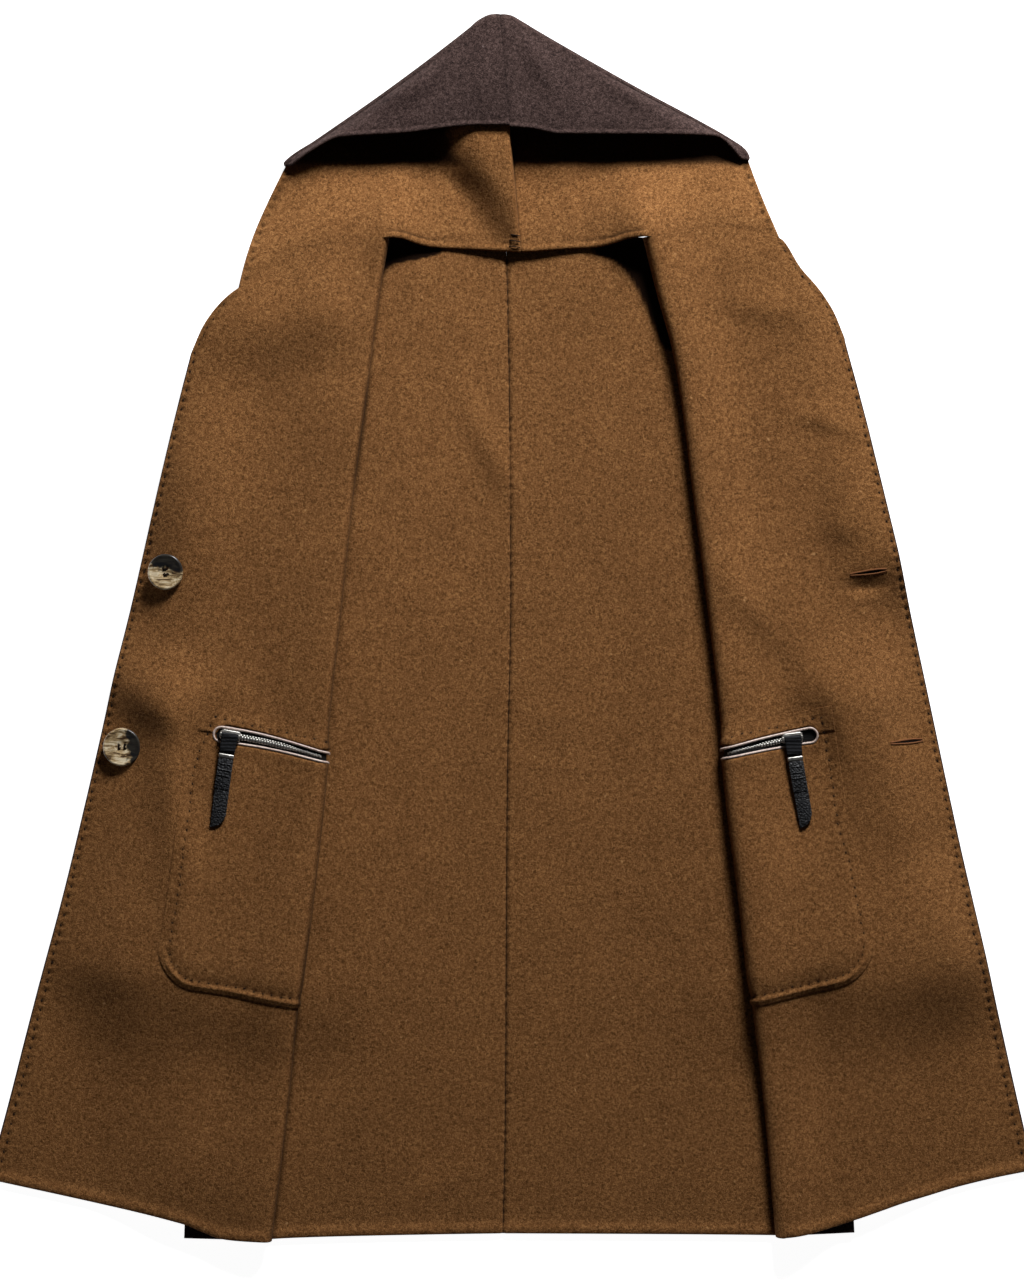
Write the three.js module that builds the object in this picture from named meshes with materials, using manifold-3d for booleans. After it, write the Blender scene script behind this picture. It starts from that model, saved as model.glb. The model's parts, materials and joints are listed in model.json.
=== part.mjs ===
// A hooded winter coat in double-faced wool, laid open and flat on its back.
//
// Millimetres, +Z up, +X to the viewer's right, +Y from the hem towards the hood.
// The coat lies inside up. Both fronts are turned back outward, the hood is laid open
// with its top folded towards the hem, and the sleeves are folded under the back.
// Most sizes are given as a distance out from the centre line and a height above the hem,
// so that one function makes the left and the right piece.

import * as THREE from 'three';
import { mergeVertices } from 'three/addons/utils/BufferGeometryUtils.js';
import Module from 'manifold-3d';

const wasm = await Module();
wasm.setup();

// ---------------------------------------------------------------- driving dimensions

const CLOTH = 2.4;             // thickness of the double-faced wool
const POCKET_CLOTH = 2.0;      // the pocket patch, pressed thinner
const SEAM = 0.3;              // space between pieces that are sewn together
const PLY_SPACE = 0.4;         // between the back and the ply that lies on it
const TOP_PLY_SPACE = 1.2;     // under the turned-back ply
const NECK_HEIGHT = 870;       // hem to the neck corners
const SHOULDER_HEIGHT = 826;   // hem to the shoulder points
const UNDERARM_HEIGHT = 650;
const SHOULDER_OUT = 229;
const UNDERARM_OUT = 262;
const FOLD_SETTLE = 60;        // a fold's height has died away at this distance
const EDGE_DROP = { least: 60, most: 90 };  // width over which the turned-back ply reaches the floor

// The two sides of the coat. roll is the radius at the middle of the cloth in the fold,
// and foldSlant the angle in degrees of the hood's fold.
const SIDES = {
  left: {
    sign: -1,
    roll: 5.5,
    sideHem: 285,
    hemHeight: 2,
    notch: 236.6,
    neckCorner: 106,
    foldSlant: 35,
    sleeveOuter: 0,
    sleeveInner: 0,
  },
  right: {
    sign: 1,
    roll: 7.5,
    sideHem: 298,
    hemHeight: 7,
    notch: 231.4,
    neckCorner: 113,
    foldSlant: 30,
    sleeveOuter: 13,
    sleeveInner: 21,
  },
};

// The fold of each turned-back front, out from the centre line.
const FOLD = [
  { y: 0, left: 208, right: 229 },
  { y: 210, left: 184.5, right: 207.5 },
  { y: 470, left: 156, right: 178.5 },
  { y: 730, left: 126, right: 146.5 },
  { y: NECK_HEIGHT, left: 106, right: 113 },
];

// The free edge of each front, from the hem corner to the top corner.
const FRONT_EDGE = [
  { y: 54, left: 456, right: 455.6 },
  { y: 122, left: 437.6, right: 440 },
  { y: 296, left: 391.5, right: 400 },
  { y: 644, left: 309, right: 323 },
  { y: 782, left: 275, right: 288.5 },
];
const FRONT_EDGE_TOP = { left: 770, right: 782 };
const HEM_CORNER = { left: 54, right: 61 };
const FOLD_LOW = { left: 0, right: 4 };

// The hem of the turned-back ply climbs away from the fold, because the fold is slanted.
const HEM_RISE = [
  { from: 0, left: 0, right: 4 },
  { from: 38, left: 2, right: 9.5 },
  { from: 77, left: 15.7, right: 21.8 },
  { from: 163, left: 35, right: 48 },
  { from: 250, left: 54, right: 66 },
];

// The top of each front: seam to the hood as far as the notch, then the free step and corner.
const FRONT_TOP = {
  left: [
    { out: 106, y: 870 },
    { out: 175, y: 862 },
    { out: 236.6, y: 826.5 },
    { out: 249, y: 817 },
    { out: 266, y: 796 },
    { out: 278, y: 770 },
  ],
  right: [
    { out: 124, y: 870 },
    { out: 170, y: 879 },
    { out: 231.4, y: 870 },
    { out: 250, y: 844 },
    { out: 266, y: 826 },
    { out: 278, y: 808 },
    { out: 289, y: 782 },
  ],
};

// How far out the layers below hold the turned-back ply up.
const SUPPORT = [
  { y: 0, left: 285, right: 298 },
  { y: 130, left: 287, right: 300 },
  { y: 200, left: 316, right: 329 },
  { y: 310, left: 317, right: 330 },
  { y: 400, left: 307, right: 320 },
  { y: 470, left: 292, right: 305 },
  { y: 545, left: 284, right: 291 },
  { y: UNDERARM_HEIGHT, left: 273, right: 274 },
  { y: 740, left: 258, right: 259 },
  { y: SHOULDER_HEIGHT, left: 236.6, right: 243 },
  { y: NECK_HEIGHT, left: 236.6, right: 231.4 },
];

// Rows of the body panels, as a share of the way from hem to shoulder or neck.
const UNDERARM_ROW = 0.787;
const ROWS = [0, 0.075, 0.157, 0.26, 0.36, 0.46, 0.56, 0.67, UNDERARM_ROW, 0.86, 0.93, 1];

// ---------------------------------------------------------------- small helpers

const lerp = THREE.MathUtils.lerp;
const ease = (x) => THREE.MathUtils.smoothstep(x, 0, 1);

// Reads one column of a table at a value of another column, with straight lines between rows.
function read(table, key, value, column) {
  let index = 1;
  while (index < table.length - 1 && value > table[index][key]) index += 1;
  const low = table[index - 1];
  const high = table[index];
  const share = THREE.MathUtils.clamp((value - low[key]) / (high[key] - low[key]), 0, 1);
  return lerp(low[column], high[column], share);
}

function geometryFrom(positions, indices) {
  const geometry = new THREE.BufferGeometry();
  geometry.setAttribute('position', new THREE.Float32BufferAttribute(positions, 3));
  geometry.setIndex(indices);
  return facingOut(geometry);
}

// Turns every triangle over when the closed surface encloses a negative volume.
function facingOut(geometry) {
  const position = geometry.getAttribute('position');
  const index = geometry.getIndex().array;
  const a = new THREE.Vector3();
  const b = new THREE.Vector3();
  const c = new THREE.Vector3();
  let volume = 0;
  for (let i = 0; i < index.length; i += 3) {
    a.fromBufferAttribute(position, index[i]);
    b.fromBufferAttribute(position, index[i + 1]);
    c.fromBufferAttribute(position, index[i + 2]);
    volume += a.dot(b.cross(c));
  }
  if (volume < 0) {
    for (let i = 0; i < index.length; i += 3) {
      const swap = index[i + 1];
      index[i + 1] = index[i + 2];
      index[i + 2] = swap;
    }
  }
  geometry.computeVertexNormals();
  return geometry;
}

function solidFrom(geometry) {
  const plain = geometry.clone();
  plain.deleteAttribute('normal');
  plain.deleteAttribute('uv');
  const merged = mergeVertices(plain, 1e-4);
  return new wasm.Manifold(new wasm.Mesh({
    numProp: 3,
    vertProperties: new Float32Array(merged.getAttribute('position').array),
    triVerts: new Uint32Array(merged.getIndex().array),
  }));
}

function geometryOf(solid) {
  const mesh = solid.getMesh();
  return geometryFrom(Array.from(mesh.vertProperties), Array.from(mesh.triVerts));
}

// An upright prism over a shape drawn in plan.
function prism(shape, low, high) {
  const geometry = new THREE.ExtrudeGeometry(shape, {
    depth: high - low,
    bevelEnabled: false,
    curveSegments: 6,
  });
  geometry.translate(0, 0, low);
  return solidFrom(geometry);
}

// ---------------------------------------------------------------- cloth

// Normals of a grid of points. sense is 1 or -1 and picks the face that they leave.
function gridNormals(grid, sense) {
  const rows = grid.length;
  const columns = grid[0].length;
  return grid.map((row, j) => row.map((point, i) => {
    const across = row[Math.min(i + 1, columns - 1)].clone().sub(row[Math.max(i - 1, 0)]);
    const along = grid[Math.min(j + 1, rows - 1)][i].clone().sub(grid[Math.max(j - 1, 0)][i]);
    return across.cross(along).normalize().multiplyScalar(sense);
  }));
}

// Squares the wall's edge at a seam: the normals there lose one component.
function squareRow(normals, row, axis) {
  for (const normal of normals[row]) {
    normal[axis] = 0;
    normal.normalize();
  }
}

function squareColumn(normals, column, axis) {
  for (const row of normals) {
    row[column][axis] = 0;
    row[column].normalize();
  }
}

// A wall of cloth between two distances from a grid of points, along the normals.
function wall(grid, normals, low, high) {
  const rows = grid.length;
  const columns = grid[0].length;
  const count = rows * columns;
  const positions = [];
  for (const distance of [low, high]) {
    grid.forEach((row, j) => row.forEach((point, i) => {
      const moved = point.clone().addScaledVector(normals[j][i], distance);
      positions.push(moved.x, moved.y, moved.z);
    }));
  }
  const at = (j, i) => j * columns + i;
  const indices = [];
  const quad = (a, b, c, d) => indices.push(a, b, c, a, c, d);
  for (let j = 0; j < rows - 1; j += 1) {
    for (let i = 0; i < columns - 1; i += 1) {
      quad(at(j, i), at(j + 1, i), at(j + 1, i + 1), at(j, i + 1));
      const top = [at(j, i), at(j, i + 1), at(j + 1, i + 1), at(j + 1, i)].map((n) => n + count);
      // The same diagonal on both faces keeps the wall's thickness even.
      indices.push(top[0], top[1], top[2], top[0], top[2], top[3]);
    }
  }
  const rim = [];
  for (let i = 0; i < columns - 1; i += 1) rim.push([at(0, i), at(0, i + 1)]);
  for (let j = 0; j < rows - 1; j += 1) rim.push([at(j, columns - 1), at(j + 1, columns - 1)]);
  for (let i = columns - 1; i > 0; i -= 1) rim.push([at(rows - 1, i), at(rows - 1, i - 1)]);
  for (let j = rows - 1; j > 0; j -= 1) rim.push([at(j, 0), at(j - 1, 0)]);
  for (const [a, b] of rim) quad(a, b, b + count, a + count);
  return geometryFrom(positions, indices);
}

// ---------------------------------------------------------------- heights of the layers

const SLEEVE_HOLLOW = 1.6;
const SLEEVE_HEIGHT = 2 * CLOTH + SLEEVE_HOLLOW;
const SLEEVE_LIFT = SLEEVE_HEIGHT + PLY_SPACE;
const RAMP_LOW = 0.157;        // rows between which the layers climb onto the sleeves
const RAMP_HIGH = 0.26;
const UPPER_RAMP_LOW = 140;    // heights between which the turned-back ply climbs
const UPPER_RAMP_HIGH = 230;
const BACK_MIDDLE = CLOTH / 2;
const LOWER_MIDDLE = CLOTH + PLY_SPACE + CLOTH / 2;
const UPPER_MIDDLE = LOWER_MIDDLE + CLOTH + TOP_PLY_SPACE;

function liftOfRow(v) {
  return SLEEVE_LIFT * THREE.MathUtils.clamp((v - RAMP_LOW) / (RAMP_HIGH - RAMP_LOW), 0, 1);
}

function liftAbove(y) {
  const share = (y - UPPER_RAMP_LOW) / (UPPER_RAMP_HIGH - UPPER_RAMP_LOW);
  return SLEEVE_LIFT * THREE.MathUtils.clamp(share, 0, 1);
}

// Middle of the turned-back ply at a place given by its height, its distance out and from the fold.
function upperHeight(name, out, y, fromFold) {
  const { roll } = SIDES[name];
  const support = read(SUPPORT, 'y', y, name);
  const beyond = read(FRONT_EDGE, 'y', y, name) - support;
  const drop = THREE.MathUtils.clamp(beyond, EDGE_DROP.least, EDGE_DROP.most);
  const held = 1 - ease((out - support) / drop);
  const spring = 2 * roll - (UPPER_MIDDLE - LOWER_MIDDLE);
  const settled = ease((fromFold - roll) / (FOLD_SETTLE - roll));
  const middle = UPPER_MIDDLE + liftAbove(y) + spring * (1 - settled);
  return lerp(CLOTH / 2, middle, held);
}

// ---------------------------------------------------------------- body panels

// Outer boundary of the back and of the ply that lies on it: side seam, then armhole.
function sidePoint(name, v) {
  const { sideHem, hemHeight } = SIDES[name];
  const y = lerp(hemHeight, SHOULDER_HEIGHT, v);
  if (y <= UNDERARM_HEIGHT) {
    return { out: lerp(sideHem, UNDERARM_OUT, y / UNDERARM_HEIGHT), y };
  }
  const share = (y - UNDERARM_HEIGHT) / (SHOULDER_HEIGHT - UNDERARM_HEIGHT);
  return { out: lerp(UNDERARM_OUT, SHOULDER_OUT, share), y };
}

function foldPoint(name, v) {
  const y = lerp(FOLD_LOW[name], NECK_HEIGHT, v);
  return { out: read(FOLD, 'y', y, name) + CLOTH / 2, y };
}

const LOWER_COLUMNS = [0, 0.33, 0.67, 1];
const ROLL_STEPS = 6;
const NEAR_FOLD = [18, 36, FOLD_SETTLE];
const TO_EDGE = [0.35, 0.7, 1];

// Columns of a front's grid: lower ply, roll, then the turned-back ply.
const ROLL_START = LOWER_COLUMNS.length - 1;
const ROLL_END = ROLL_START + ROLL_STEPS;
const NOTCH_COLUMN = ROLL_END + NEAR_FOLD.length + 2;

function upperRow(name, v) {
  const { sign, roll, notch } = SIDES[name];
  const fold = foldPoint(name, v);
  const edgeHeight = lerp(HEM_CORNER[name], FRONT_EDGE_TOP[name], v);
  const edgeOut = read(FRONT_EDGE, 'y', edgeHeight, name);
  const heightAt = (out) => {
    const share = (out - fold.out) / (edgeOut - fold.out);
    const straight = lerp(fold.y, edgeHeight, share);
    const rise = read(HEM_RISE, 'from', out - fold.out, name);
    const hemRise = rise - lerp(FOLD_LOW[name], HEM_CORNER[name], share);
    const hemShare = Math.max(0, 1 - v / RAMP_LOW);
    const top = read(FRONT_TOP[name], 'out', out, 'y') - SEAM / 2;
    const topLine = lerp(NECK_HEIGHT, FRONT_EDGE_TOP[name], share);
    const topShare = Math.max(0, (v - UNDERARM_ROW) / (1 - UNDERARM_ROW));
    return straight + hemRise * hemShare + (top - topLine) * topShare;
  };
  const nearSide = heightAt(SIDES[name].sideHem - FOLD_SETTLE / 4);
  const held = v === 1 ? notch : read(SUPPORT, 'y', nearSide, name);
  const settled = fold.out + FOLD_SETTLE;
  const outs = [
    fold.out + roll,
    ...NEAR_FOLD.map((distance) => fold.out + distance),
    (settled + held) / 2,
    held,
    ...TO_EDGE.map((share) => lerp(held, edgeOut, share)),
  ];
  return outs.map((out) => {
    const y = heightAt(out);
    return new THREE.Vector3(sign * out, y, upperHeight(name, out, y, out - fold.out));
  });
}

function lowerRow(name, v, middle) {
  const { sign, roll } = SIDES[name];
  const side = sidePoint(name, v);
  const fold = foldPoint(name, v);
  return LOWER_COLUMNS.map((share) => new THREE.Vector3(
    sign * lerp(side.out, fold.out + roll, share),
    lerp(side.y, fold.y, share),
    middle + liftOfRow(v),
  ));
}

function frontRow(name, v) {
  const { sign, roll } = SIDES[name];
  const lower = lowerRow(name, v, LOWER_MIDDLE);
  const upper = upperRow(name, v);
  const below = lower[lower.length - 1];
  const above = upper[0];
  const turn = [];
  for (let k = 1; k < ROLL_STEPS; k += 1) {
    const angle = -Math.PI / 2 + (Math.PI * k) / ROLL_STEPS;
    turn.push(new THREE.Vector3(
      below.x - sign * roll * Math.cos(angle),
      lerp(below.y, above.y, k / ROLL_STEPS),
      lerp(below.z, above.z, (1 + Math.sin(angle)) / 2),
    ));
  }
  return [...lower, ...turn, ...upper];
}

const FRONTS = {};
for (const name of Object.keys(SIDES)) {
  const grid = ROWS.map((v) => frontRow(name, v));
  const normals = gridNormals(grid, SIDES[name].sign);
  squareRow(normals, grid.length - 1, 'y');
  FRONTS[name] = { grid, normals };
}

function frontGeometry(name) {
  const { grid, normals } = FRONTS[name];
  return wall(grid, normals, -CLOTH / 2, CLOTH / 2);
}

// The back dips to the floor between the sleeves.
const PLATEAU_PAST_FOLD = 22;
const SLOPE_PAST_FOLD = 60;
const BACK_SEAM = [
  { y: 0, x: -8 },
  { y: 400, x: -4 },
  { y: 720, x: 0 },
  { y: NECK_HEIGHT, x: -1 },
];
const BACK_TOP = 875;
const BACK_HEM_MIDDLE = 6;

function backRow(name, v) {
  const { sign, roll, hemHeight } = SIDES[name];
  const onSleeve = lowerRow(name, v, BACK_MIDDLE);
  const fold = foldPoint(name, v);
  const start = fold.out + roll;
  const seamHeight = lerp(BACK_HEM_MIDDLE, BACK_TOP, v);
  const seamX = read(BACK_SEAM, 'y', seamHeight, 'x') + (sign * SEAM) / 2;
  const seamOut = sign * seamX;
  const stops = [
    { out: start - PLATEAU_PAST_FOLD, lift: liftOfRow(v) },
    { out: start - SLOPE_PAST_FOLD, lift: 0 },
    { out: (start - SLOPE_PAST_FOLD + seamOut) / 2, lift: 0 },
    { out: seamOut, lift: 0 },
  ];
  const toSeam = stops.map(({ out, lift }) => {
    const share = (start - out) / (start - seamOut);
    const y = lerp(fold.y, seamHeight, Math.sqrt(share));
    return new THREE.Vector3(sign * out, y, BACK_MIDDLE + lift);
  });
  return [...onSleeve, ...toSeam];
}

function backGeometry(name) {
  const grid = ROWS.map((v) => backRow(name, v));
  const normals = gridNormals(grid, -SIDES[name].sign);
  squareColumn(normals, grid[0].length - 1, 'x');
  return wall(grid, normals, -CLOTH / 2, CLOTH / 2);
}

// ---------------------------------------------------------------- sleeves

// Flattened tubes: they turn under the armhole and lie below the back, down to the cuff.
const SLEEVE_TURN_STEPS = 4;
const SLEEVE_ROUND_STEPS = 4;
const SLEEVE_SECTIONS = [
  { outerOut: 264, outerY: 606, innerOut: 180, innerY: 790, shift: 0 },
  { outerOut: 270, outerY: 545, innerOut: 134, innerY: 700, shift: 0.8 },
  { outerOut: 286, outerY: 470, innerOut: 136, innerY: 570, shift: 1 },
  { outerOut: 303, outerY: 400, innerOut: 148, innerY: 445, shift: 1 },
  { outerOut: 312, outerY: 310, innerOut: 160, innerY: 335, shift: 1 },
  { outerOut: 313, outerY: 240, innerOut: 170, innerY: 244, shift: 1 },
];
const TURN_HEIGHT = SLEEVE_LIFT - PLY_SPACE / 2;
const TURN_INNER = 0.2;

// One section: the line it stands on, the way its plies are stacked, and how far they reach.
function sleeveLoop(start, end, stack, low, high, inset) {
  const radius = (high - low) / 2;
  const run = end.clone().sub(start);
  const length = run.length();
  run.normalize();
  const points = [];
  const corner = (along, turn) => {
    for (let k = 0; k <= SLEEVE_ROUND_STEPS; k += 1) {
      const angle = turn + (Math.PI * k) / SLEEVE_ROUND_STEPS;
      const distance = along + radius * Math.cos(angle);
      const height = low + radius + radius * Math.sin(angle);
      points.push(start.clone().addScaledVector(run, distance).addScaledVector(stack, height));
    }
  };
  corner(length - inset - radius, -Math.PI / 2);
  corner(inset + radius, Math.PI / 2);
  return points;
}

function sleeveGeometry(name) {
  const { sign, sleeveOuter, sleeveInner } = SIDES[name];
  const underarm = new THREE.Vector3(sign * UNDERARM_OUT, UNDERARM_HEIGHT, TURN_HEIGHT);
  const shoulder = new THREE.Vector3(sign * SHOULDER_OUT, SHOULDER_HEIGHT, TURN_HEIGHT);
  const armhole = shoulder.clone().sub(underarm).normalize();
  const outward = new THREE.Vector3(sign * armhole.y, -sign * armhole.x, 0);
  const sections = [];
  for (let k = 0; k <= SLEEVE_TURN_STEPS; k += 1) {
    const share = k / SLEEVE_TURN_STEPS;
    const stack = new THREE.Vector3(0, 0, Math.cos(Math.PI * share));
    stack.addScaledVector(outward, Math.sin(Math.PI * share));
    const clear = outward.clone().multiplyScalar(SEAM);
    const start = underarm.clone().add(clear);
    const end = shoulder.clone().add(clear);
    sections.push({ start, end, stack, share });
  }
  for (const row of SLEEVE_SECTIONS) {
    const outerOut = row.outerOut + sleeveOuter * row.shift;
    const innerOut = row.innerOut + sleeveInner * row.shift;
    sections.push({
      start: new THREE.Vector3(sign * outerOut, row.outerY, TURN_HEIGHT),
      end: new THREE.Vector3(sign * innerOut, row.innerY, TURN_HEIGHT),
      stack: new THREE.Vector3(0, 0, -1),
      share: 1,
    });
  }
  const loops = sections.map(({ start, end, stack, share }) => {
    const low = TURN_INNER;
    const high = TURN_INNER + lerp(2 * CLOTH + PLY_SPACE, SLEEVE_HEIGHT, share);
    return {
      outer: sleeveLoop(start, end, stack, low, high, 0),
      hollow: sleeveLoop(start, end, stack, low + CLOTH, high - CLOTH, CLOTH),
    };
  });
  return tubeGeometry(loops);
}

// A tube with a hollow: the outer and inner loops have the same number of points.
function tubeGeometry(loops) {
  const size = loops[0].outer.length;
  const positions = [];
  for (const { outer, hollow } of loops) {
    for (const point of [...outer, ...hollow]) positions.push(point.x, point.y, point.z);
  }
  const indices = [];
  const quad = (a, b, c, d) => indices.push(a, b, c, a, c, d);
  for (let k = 0; k < loops.length - 1; k += 1) {
    for (let i = 0; i < size; i += 1) {
      const here = k * 2 * size + i;
      const next = k * 2 * size + ((i + 1) % size);
      const step = 2 * size;
      quad(here, next, next + step, here + step);
      quad(here + size, here + size + step, next + size + step, next + size);
    }
  }
  for (let i = 0; i < size; i += 1) {
    const next = (i + 1) % size;
    const last = (loops.length - 1) * 2 * size;
    quad(i, i + size, next + size, next);
    quad(last + i, last + next, last + next + size, last + i + size);
  }
  return geometryFrom(positions, indices);
}

// ---------------------------------------------------------------- hood

// The hood's fold, from its left corner over the peak to its right corner.
const HOOD_FOLD = [
  { x: -199, y: 936 },
  { x: -170, y: 957 },
  { x: -28, y: 1061.5 },
  { x: -18, y: 1066 },
  { x: 0, y: 1066 },
  { x: 8, y: 1060.5 },
  { x: 191, y: 957 },
  { x: 207, y: 940 },
];
// The face edge of the folded-over part, seen as the lip of the hood's mouth.
const HOOD_LIP = [
  { x: -191, y: 934 },
  { x: -168, y: 949 },
  { x: -150, y: 957 },
  { x: -97, y: 960 },
  { x: -28, y: 966.6 },
  { x: 16, y: 964 },
  { x: 42, y: 959.6 },
  { x: 111, y: 959.6 },
  { x: 176, y: 959 },
  { x: 199, y: 940 },
];
// The neck edge of the hood, over the top of the back: how far it stands up at its corners.
const NECK_EDGE = [
  { out: 0, y: 854, lift: 0 },
  { out: 54, y: 857, lift: 0.05 },
  { out: 80, y: 862, lift: 0.35 },
  { out: 97, y: 867.5, lift: 0.8 },
  { out: 106, y: 870, lift: 1 },
];
const NECK_OUTS = [0, 5, 13, 36, 62, 80, 97];
const NECK_MIDDLE = 7.4;       // height of the neck edge at the centre
const NECK_SETTLE = 80;        // the hood comes down to the floor over this distance
const HOOD_ROLL = { centre: 5.5, corner: 2.6 };
const LIP_MIDDLE = { centre: 25.5, corner: 7.5 };
const HOOD_ROWS = [0.1, 0.25, 0.42, 0.6, 0.8, 1];
const HOOD_ROLL_STEPS = 4;
const LIP_ROWS = [0.3, 0.6, 0.85, 1];
const HOOD_SEAM = { fold: -10, lip: -2 };         // x of the centre seam at the fold and at the lip
const HOOD_BULGE = 5;          // how far the sides of the hood bow outward
const SLANT_SETTLE = 0.15;     // share of the width in which the fold takes up its slant
const LIP_FALL = 1.6;          // how sharply the lip comes down towards its corners

// A standing fold of cloth in the left half, beside the seam.
const RIDGE = {
  out: 13,
  height: 16,
  foot: 60,
  seamSide: 11,
  low: 860,
  crestLow: 905,
  crestHigh: 965,
  high: 1030,
};

function ridgeHeight(name, out, y) {
  const along = ease((y - RIDGE.low) / (RIDGE.crestLow - RIDGE.low))
    * (1 - ease((y - RIDGE.crestHigh) / (RIDGE.high - RIDGE.crestHigh)));
  const inner = ease(1 - (RIDGE.out - out) / RIDGE.seamSide);
  const outer = ease(1 - (out - RIDGE.out) / (RIDGE.foot - RIDGE.out));
  const across = out < RIDGE.out ? inner : outer;
  return name === 'left' ? RIDGE.height * along * across : 0;
}

function hoodStart(name) {
  const { sign, neckCorner } = SIDES[name];
  const top = FRONTS[name].grid[ROWS.length - 1];
  const roof = top[ROLL_END];
  const corner = NECK_EDGE[NECK_EDGE.length - 1].out;
  const neck = NECK_OUTS.map((place) => {
    const y = read(NECK_EDGE, 'out', place, 'y');
    const lift = read(NECK_EDGE, 'out', place, 'lift');
    const out = Math.max(SEAM / 2, (place * neckCorner) / corner);
    return new THREE.Vector3(sign * out, y, lerp(NECK_MIDDLE, roof.z, lift));
  });
  const cornerPoint = new THREE.Vector3(sign * neckCorner, NECK_HEIGHT + SEAM / 2, roof.z);
  const seam = top.slice(ROLL_END, NOTCH_COLUMN + 1);
  return [...neck, cornerPoint, ...seam.map((p) => new THREE.Vector3(p.x, p.y + SEAM, p.z))];
}

function hoodColumn(name, start) {
  const { sign, notch, foldSlant } = SIDES[name];
  const share = Math.abs(start.x) / notch;
  const left = name === 'left';
  const foldEnd = left ? HOOD_FOLD[0].x : HOOD_FOLD[HOOD_FOLD.length - 1].x;
  const lipEnd = left ? HOOD_LIP[0].x : HOOD_LIP[HOOD_LIP.length - 1].x;
  const foldX = lerp(HOOD_SEAM.fold + (sign * SEAM) / 2, foldEnd, share);
  const fold = new THREE.Vector3(foldX, read(HOOD_FOLD, 'x', foldX, 'y'), 0);
  const lipX = lerp(HOOD_SEAM.lip + (sign * SEAM) / 2, lipEnd, share);
  const lip = new THREE.Vector3(lipX, read(HOOD_LIP, 'x', lipX, 'y'), 0);
  const slant = THREE.MathUtils.degToRad(foldSlant) * ease(share / SLANT_SETTLE);
  const inward = new THREE.Vector3(-sign * Math.sin(slant), -Math.cos(slant), 0);
  const roll = lerp(HOOD_ROLL.centre, HOOD_ROLL.corner, share);
  const centre = fold.clone().addScaledVector(inward, roll + CLOTH / 2);
  const points = [start.clone()];
  const length = centre.clone().sub(start).setZ(0).length();
  for (const v of HOOD_ROWS) {
    const p = new THREE.Vector3(lerp(start.x, centre.x, v), lerp(start.y, centre.y, v), 0);
    p.x += sign * HOOD_BULGE * share ** 4 * Math.sin(Math.PI * v);
    const rest = lerp(start.z, CLOTH / 2, ease((v * length) / NECK_SETTLE));
    p.z = rest + ridgeHeight(name, Math.abs(p.x), p.y) * (v < 1 ? 1 : 0);
    points.push(p);
  }
  for (let k = 1; k <= HOOD_ROLL_STEPS; k += 1) {
    const angle = -Math.PI / 2 + (Math.PI * k) / HOOD_ROLL_STEPS;
    const p = centre.clone().addScaledVector(inward, -roll * Math.cos(angle));
    p.z = CLOTH / 2 + roll + roll * Math.sin(angle);
    points.push(p);
  }
  const top = points[points.length - 1];
  const lipHeight = lerp(LIP_MIDDLE.centre, LIP_MIDDLE.corner, share ** LIP_FALL);
  for (const v of LIP_ROWS) {
    points.push(new THREE.Vector3(
      lerp(top.x, lip.x, v),
      lerp(top.y, lip.y, v),
      lerp(top.z, lipHeight, Math.sin((Math.PI / 2) * v)),
    ));
  }
  return points;
}

function hoodGeometry(name) {
  const columns = hoodStart(name).map((start) => hoodColumn(name, start));
  const grid = columns[0].map((point, j) => columns.map((column) => column[j]));
  const normals = gridNormals(grid, SIDES[name].sign);
  // Along the seam to the front both pieces leave the seam line in the same direction.
  const seam = FRONTS[name].normals[ROWS.length - 1].slice(ROLL_END, NOTCH_COLUMN + 1);
  seam.forEach((normal, k) => normals[0][NECK_OUTS.length + 1 + k].copy(normal));
  squareRow(normals, 0, 'y');
  squareColumn(normals, 0, 'x');
  return wall(grid, normals, -CLOTH / 2, CLOTH / 2);
}

// ---------------------------------------------------------------- pockets and zips

// Outline of each pocket patch. It wraps a little round the fold, past its widest line.
const POCKET_OUTLINE = {
  left: [
    { out: 130, y: 193 },
    { out: 276, y: 219 },
    { out: 305, y: 252 },
    { out: 290, y: 357 },
    { out: 265, y: 466 },
    { out: 130, y: 436 },
  ],
  right: [
    { out: 150, y: 191 },
    { out: 286, y: 223 },
    { out: 314, y: 259 },
    { out: 292, y: 357 },
    { out: 277, y: 466 },
    { out: 150, y: 439 },
  ],
};
const POCKET_CORNER = { out: 3, y: 5 };  // where the rounded foot corner would be if it were sharp
const POCKET_ROWS = [2, 8];    // rows of the front that carry a pocket, first and past the last
const PAST_FOLD = 2;           // roll steps before the widest line where the patch begins

// Mouth of each pocket: middle line from the outer end to the fold, and its half widths.
const MOUTH = {
  left: { outer: [251.8, 440.4], bend: [205, 434.5], fold: [158, 419], slider: 243.8, tilt: 10 },
  right: { outer: [258.6, 439.8], bend: [212, 432], fold: [178, 422], slider: 246.9, tilt: 7.5 },
};
const MOUTH_HALF = { outer: 5.4, fold: 2.8 };
const MOUTH_STEPS = 6;
const PIPING_WIDTH = 2.2;
const PIPING_PROUD = 0.6;
const TAPE = 0.6;
const CHAIN_WIDTH = 4.2;
const CHAIN_HEIGHT = 1.6;

// A layer of cloth on a front, made from the front's own points moved out.
function frontLayer(name, low, high) {
  const columns = [ROLL_START + PAST_FOLD, NOTCH_COLUMN + 1];
  const grid = FRONTS[name].grid.slice(...POCKET_ROWS).map((row) => row.slice(...columns));
  const normals = FRONTS[name].normals.slice(...POCKET_ROWS).map((row) => row.slice(...columns));
  return solidFrom(wall(grid, normals, CLOTH / 2 + low, CLOTH / 2 + high));
}

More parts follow.
